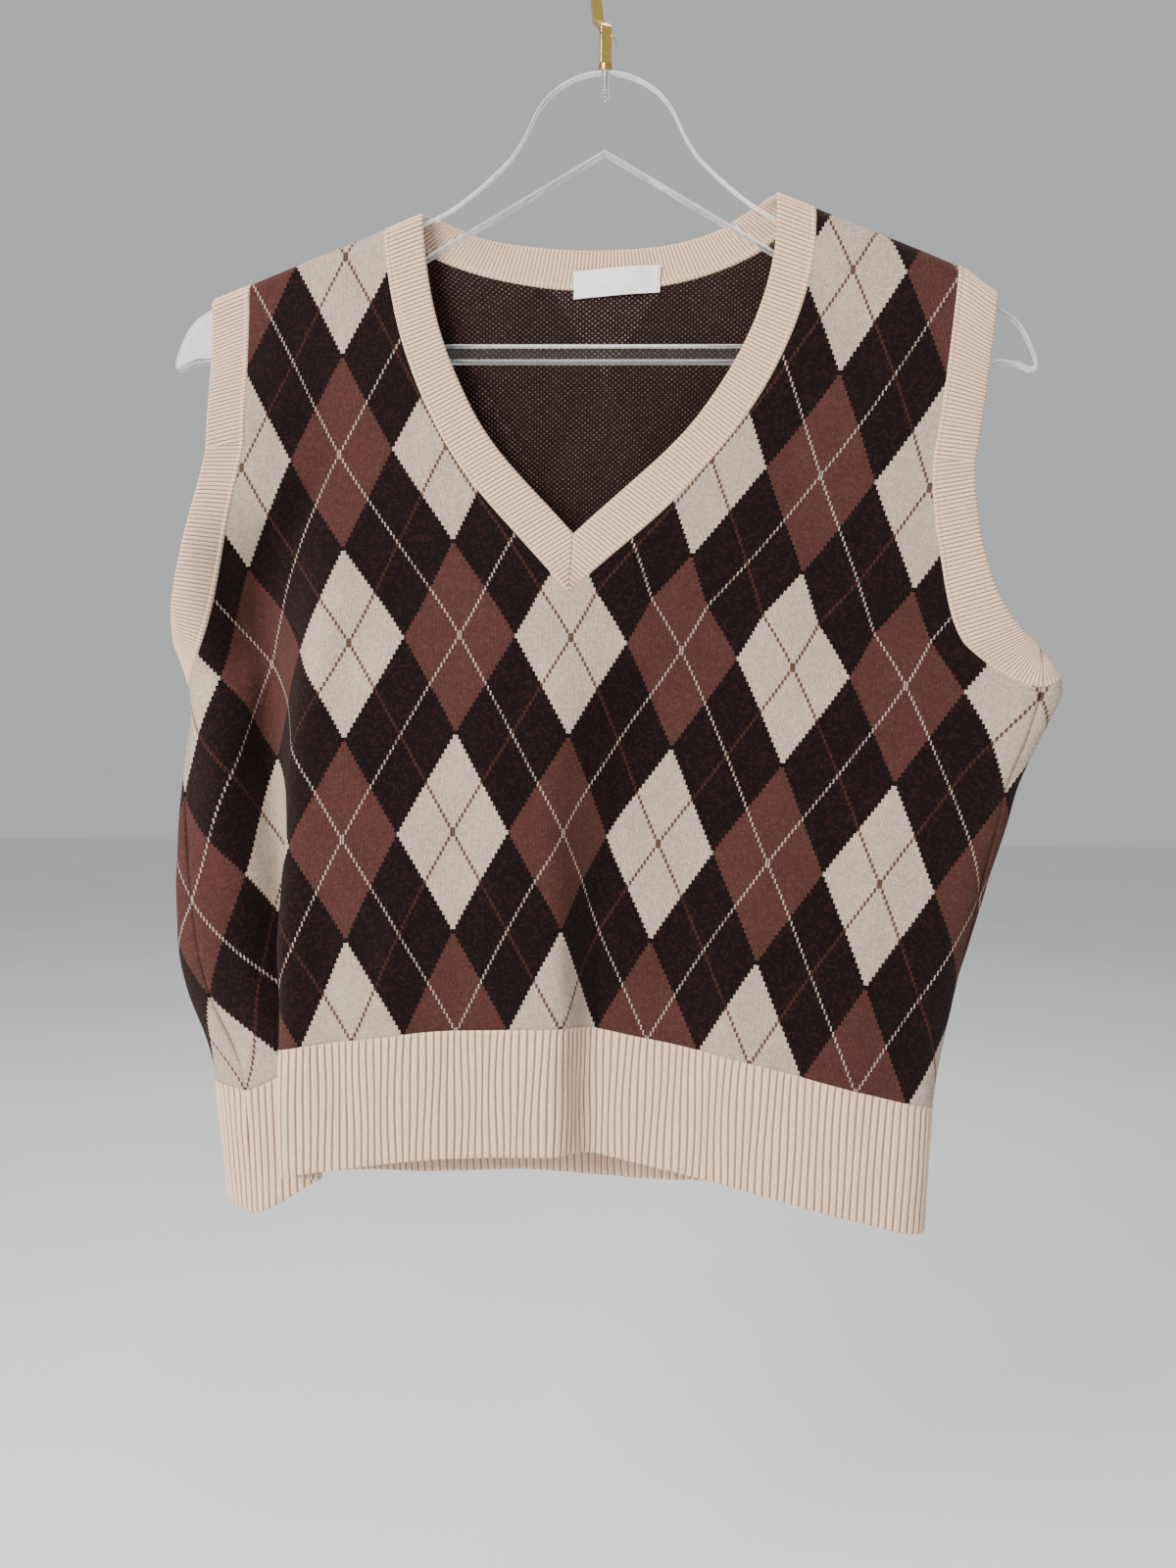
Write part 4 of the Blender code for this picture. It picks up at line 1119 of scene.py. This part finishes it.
@cache
def argyle_knit():
    """Argyle in stitches: each stitch takes one yarn, so that slanting edges step from stitch to
    stitch. The inner face shows the same yarns as a bird's-eye of single stitches."""
    f = Finish("argyle_knit", 0.93, Sheen_Weight=0.06, Sheen_Roughness=0.5, Specular_IOR_Level=0.1)
    f.surface.inputs["Sheen Tint"].default_value = (0.85, 0.62, 0.58, 1)
    column, diamond = f.uv()
    x, y = column * STITCHES, diamond * COURSES
    stitch, course = x.floor(), y.floor()
    across, up = (stitch + 0.5) / STITCHES, (course + 0.5) / COURSES
    rising, falling = across + up, across - up
    near_rising, near_falling = round(rising), round(falling)
    rising_odd, falling_odd = odd(near_rising), odd(near_falling)
    dark = abs(rising_odd - falling_odd)
    yarn = f.mix(dark, f.mix(rising_odd, OATMEAL, BROWN), PLUM)

    from_leg = abs(x.fraction() - 0.5)
    thinner = f.span(from_leg, 0.16, 0.34, 1.0, 0.0)  # the pale yarn is thinner than its stitch
    for value, near, pale in ((rising, near_rising, rising_odd), (falling, near_falling, falling_odd)):
        on_line = abs(value - near) < 0.5 / STITCHES
        line = on_line * (pale * thinner + (1.0 - pale))
        faint = (1.0 - pale) * (dark * 0.35)
        yarn = f.mix(line * (0.92 - faint), yarn, f.mix(pale, RED_THREAD, PALE_THREAD))

    speck, second = f.speckle(stitch, course), f.speckle(stitch, course, 7.0)
    yarn = f.mix((speck > 0.9) * (0.2 - dark * 0.2), yarn, (0.10, 0.055, 0.05))
    yarn = f.mix((second > 0.72) * (dark * 0.5), yarn, (0.030, 0.009, 0.009))
    from_row = abs(y.fraction() - 0.5)
    dot = f.span(from_leg**2.0 + from_row**2.0, 0.05, 0.16, 1.0, 0.0)
    every_other = ((stitch + course) * 0.5).fraction() > 0.25
    dot_colour = f.mix(dark, f.mix(rising_odd, (0.27, 0.19, 0.15), (0.19, 0.11, 0.085)), (0.16, 0.10, 0.08))
    reverse = f.mix(dark, (0.019, 0.008, 0.0075), (0.015, 0.0065, 0.0062))
    reverse = f.mix(every_other * dot * (second * 0.5 + 0.45), reverse, dot_colour)
    yarn = f.mix(f.inside() > 0.5, yarn, reverse)

    relief = stitch_height(x, y)
    # Painted light and shade: the yarn is lighter on the stitches' raised legs and darker in the gaps between
    # them; the speckle and the noise are random tone.
    f.colour(yarn, (relief * 0.66 + 0.56) * ((speck * 0.3 + 0.85) * (f.noise(38.0, 3.0) * 0.22 + 0.89)))
    f.bump(relief + f.noise(1500.0, 2.0) * 0.5, 0.0005, 0.9)
    f.roughness(f.span(relief, 0.0, 1.0, 0.98, 0.86))
    return f.made


@cache
def rib_knit():
    """Cream rib: one column of stitches on each rib, and painted shade in the grooves."""
    f = Finish("rib_knit", 0.92, Sheen_Weight=0.15, Sheen_Roughness=0.5, Specular_IOR_Level=0.15)
    f.surface.inputs["Sheen Tint"].default_value = (1.0, 0.93, 0.88, 1)
    rib, along = f.uv()
    y = along / (DIAMOND / COURSES)
    relief = stitch_height(rib, y)
    from_middle = rib.from_middle()
    inside = f.inside()
    # Painted shade in the grooves: between the ribs on the outer face, and between the inner face's own ribs
    # on the inside.
    groove = f.span(from_middle, 0.5, 0.95) * (1.0 - inside)
    groove += f.span(1.0 - from_middle, 0.5, 0.95) * inside
    speck = f.speckle((rib * 2.0).floor(), y.floor())
    yarn = f.mix(f.span(f.noise(30.0, 3.0), 0.35, 0.7, 0.0, 0.5), CREAM, (0.84, 0.62, 0.465))
    yarn = f.mix((speck > 0.88) * 0.25, yarn, (0.55, 0.40, 0.31))
    yarn = f.mix(groove * 0.9, yarn, PAINTED_GROOVE_SHADE)
    # Painted light and shade: lighter on the stitches' raised legs and darker between them; the speckle is
    # random tone.
    f.colour(yarn, (relief * 0.3 + 0.8) * (speck * 0.12 + 0.94))
    f.bump(relief + f.noise(1400.0, 2.0) * 0.5, 0.00035, 0.8)
    f.roughness(f.span(relief, 0.0, 1.0, 0.96, 0.84))
    return f.made


@cache
def satin():
    """White satin tape, with fine weft floats."""
    f = Finish("label_satin", 0.42, Sheen_Weight=0.1, Specular_IOR_Level=0.45, Anisotropic=0.4)
    across, up = f.uv()
    row = up * 6.0
    soft = f.noise(220.0, 3.0)
    f.colour(f.mix(f.span(soft, 0.3, 0.7), (0.80, 0.80, 0.80), (0.90, 0.90, 0.90)))
    f.bump(row.from_middle() + (across * 5.0 + row.floor() * 0.4).fraction() * 0.3, 0.00006, 0.6)
    f.roughness(f.span(soft, 0.3, 0.7, 0.36, 0.5))
    return f.made


@cache
def thread():
    f = Finish("label_thread", 0.7, Sheen_Weight=0.2)
    f.colour(f.mix(f.noise(900.0), (0.70, 0.69, 0.67), (0.9, 0.89, 0.87)))
    return f.made


@cache
def acrylic():
    """Clear acrylic, very slightly cool, with faint scuffs."""
    f = Finish("clear_acrylic", 0.0, Transmission_Weight=1.0, IOR=1.49)
    scuffs = f.noise(160.0, 4.0)
    f.colour(f.mix(f.span(scuffs, 0.3, 0.7), (0.975, 0.985, 0.985), (0.99, 0.995, 0.995)))
    f.roughness(f.span(scuffs, 0.62, 0.8, 0.0, 0.01))
    return f.made


@cache
def acrylic_edge():
    """The cut and rounded edges of the acrylic, which are a little cloudy."""
    f = Finish("acrylic_edge", 0.1, Transmission_Weight=0.6, IOR=1.49)
    cloud = f.noise(90.0, 3.0)
    f.colour(f.mix(f.span(cloud, 0.3, 0.7), (0.84, 0.87, 0.88), (0.93, 0.95, 0.95)))
    f.roughness(f.span(cloud, 0.3, 0.7, 0.06, 0.14))
    return f.made


def metal(name, tint, deep, low, high, scale):
    """A metal with faint handling marks."""
    f = Finish(name, 0.25, Metallic=1.0)
    marks = f.noise(scale, 4.0, rough=0.65)
    f.colour(f.mix(f.span(marks, 0.3, 0.75), tint, deep))
    f.roughness(f.span(marks, 0.3, 0.75, low, high))
    f.bump(marks, 0.00003, 0.5)
    return f.made


@cache
def brass():
    return metal("polished_brass", (0.86, 0.60, 0.19), (0.74, 0.48, 0.13), 0.12, 0.26, 260.0)


@cache
def dark_brass():
    return metal("ferrule_brass", (0.58, 0.38, 0.13), (0.42, 0.26, 0.09), 0.2, 0.38, 400.0)


@cache
def steel():
    return metal("screw_steel", (0.62, 0.61, 0.59), (0.48, 0.47, 0.45), 0.25, 0.45, 500.0)


# ---------------------------------------------------------------------------- the object

knit_front, front_area = front_panel()
knit_back, back_area = back_panel()
rib_front, rib_front_area = hem_rib("knit_hem_front", FRONT)
rib_back, rib_back_area = hem_rib("knit_hem_back", BACK)
neck, neck_length = neckband()
arm_left, arm_left_length = armband("knit_armband_left", -1)
arm_right, arm_right_length = armband("knit_armband_right", 1)
label, label_sewn = neck_label()
hanger_clear, hook_bar, ferrule_ring, screw_thread = hanger(), hook(), ferrule(), screw()

for piece, node, slot in (
    (knit_front, "front_panel", "argyle_knit"),
    (knit_back, "back_panel", "argyle_knit"),
    (rib_front, "hem_rib_front", "rib_knit"),
    (rib_back, "hem_rib_back", "rib_knit"),
    (neck, "neckband", "rib_knit"),
    (arm_left, "armband_left", "rib_knit"),
    (arm_right, "armband_right", "rib_knit"),
    (label, "neck_label", "label_satin"),
    (label_sewn, "neck_label", "label_satin"),
    (hanger_clear, "hanger_body", "clear_acrylic"),
    (hook_bar, "hook", "polished_brass"),
    (ferrule_ring, "ferrule", "polished_brass"),
    (screw_thread, "screw", "screw_steel"),
):
    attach(piece, "root")
    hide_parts(node)

for band, width, length in (
    (neck, NECKBAND_WIDTH, neck_length),
    (arm_left, ARMBAND_WIDTH, arm_left_length),
    (arm_right, ARMBAND_WIDTH, arm_right_length),
):
    width * MM
    length * MM


# ---------------------------------------------------------------------------- the studio

def floor():
    """A plain pale floor well below the hem."""
    mesh = bpy.data.meshes.new("floor")
    reach, level = 9.0, -1.02
    corners = [(-reach, -reach, level), (reach, -reach, level), (reach, reach, level), (-reach, reach, level)]
    mesh.from_pydata(corners, [], [(0, 1, 2, 3)])
    made = shown("floor", mesh)
    f = Finish("pale_floor", 0.9)
    f.colour(f.mix(f.span(f.noise(3.0), 0.35, 0.65), (0.85, 0.86, 0.865), (0.88, 0.885, 0.89)))
    mesh.materials.append(f.made)


def soft_light(name, place, aim, size, power, tint):
    light = bpy.data.lights.new(name, "AREA")
    light.shape = "RECTANGLE"
    light.size, light.size_y = size
    light.energy = power
    light.color = tint
    made = shown(name, light)
    made.location = place
    made.rotation_euler = (Vector(aim) - Vector(place)).to_track_quat("-Z", "Y").to_euler()
    made.visible_transmission = False  # no lamp is seen through the acrylic


def studio():
    world = bpy.data.worlds.new("studio")
    bpy.context.scene.world = world
    world.use_nodes = True
    sky = world.node_tree.nodes["Background"]
    sky.inputs["Color"].default_value = (0.79, 0.81, 0.82, 1)
    sky.inputs["Strength"].default_value = 0.62
    aim = (0, 0, -0.38)
    soft_light("key", (-1.1, -1.5, 0.35), aim, (0.9, 1.2), 76, (1.0, 0.97, 0.93))
    soft_light("fill", (1.6, -1.2, -0.1), aim, (1.4, 1.4), 6, (0.93, 0.96, 1.0))
    soft_light("top", (0.1, 0.5, 1.3), aim, (1.4, 0.8), 16, (1.0, 1.0, 1.0))
    soft_light("behind", (0.5, 1.6, 1.5), aim, (1.6, 1.2), 16, (1.0, 0.98, 0.95))


CAMERA_AT = (0.0103, -0.6847, -0.4206)
CAMERA_YAW, CAMERA_PITCH, CAMERA_ROLL = 1.4, 1.0, 0.4
LENS = 30.375  # on a 36 mm sensor, along the picture's long side


def camera():
    """The photograph's view: nearly square on, and about level with the middle of the vest."""
    yaw, pitch, roll = (radians(a) for a in (CAMERA_YAW, CAMERA_PITCH, CAMERA_ROLL))
    lens = bpy.data.cameras.new("camera")
    lens.lens = LENS
    lens.sensor_width = 36.0
    lens.sensor_fit = "AUTO"
    lens.clip_start = 0.02
    made = shown("camera", lens)
    aimed = Matrix.Rotation(yaw, 4, "Z") @ Matrix.Rotation(pi / 2 - pitch, 4, "X")
    made.matrix_world = Matrix.Translation(CAMERA_AT) @ aimed @ Matrix.Rotation(roll, 4, "Z")
    bpy.context.scene.camera = made


floor()
studio()
camera()
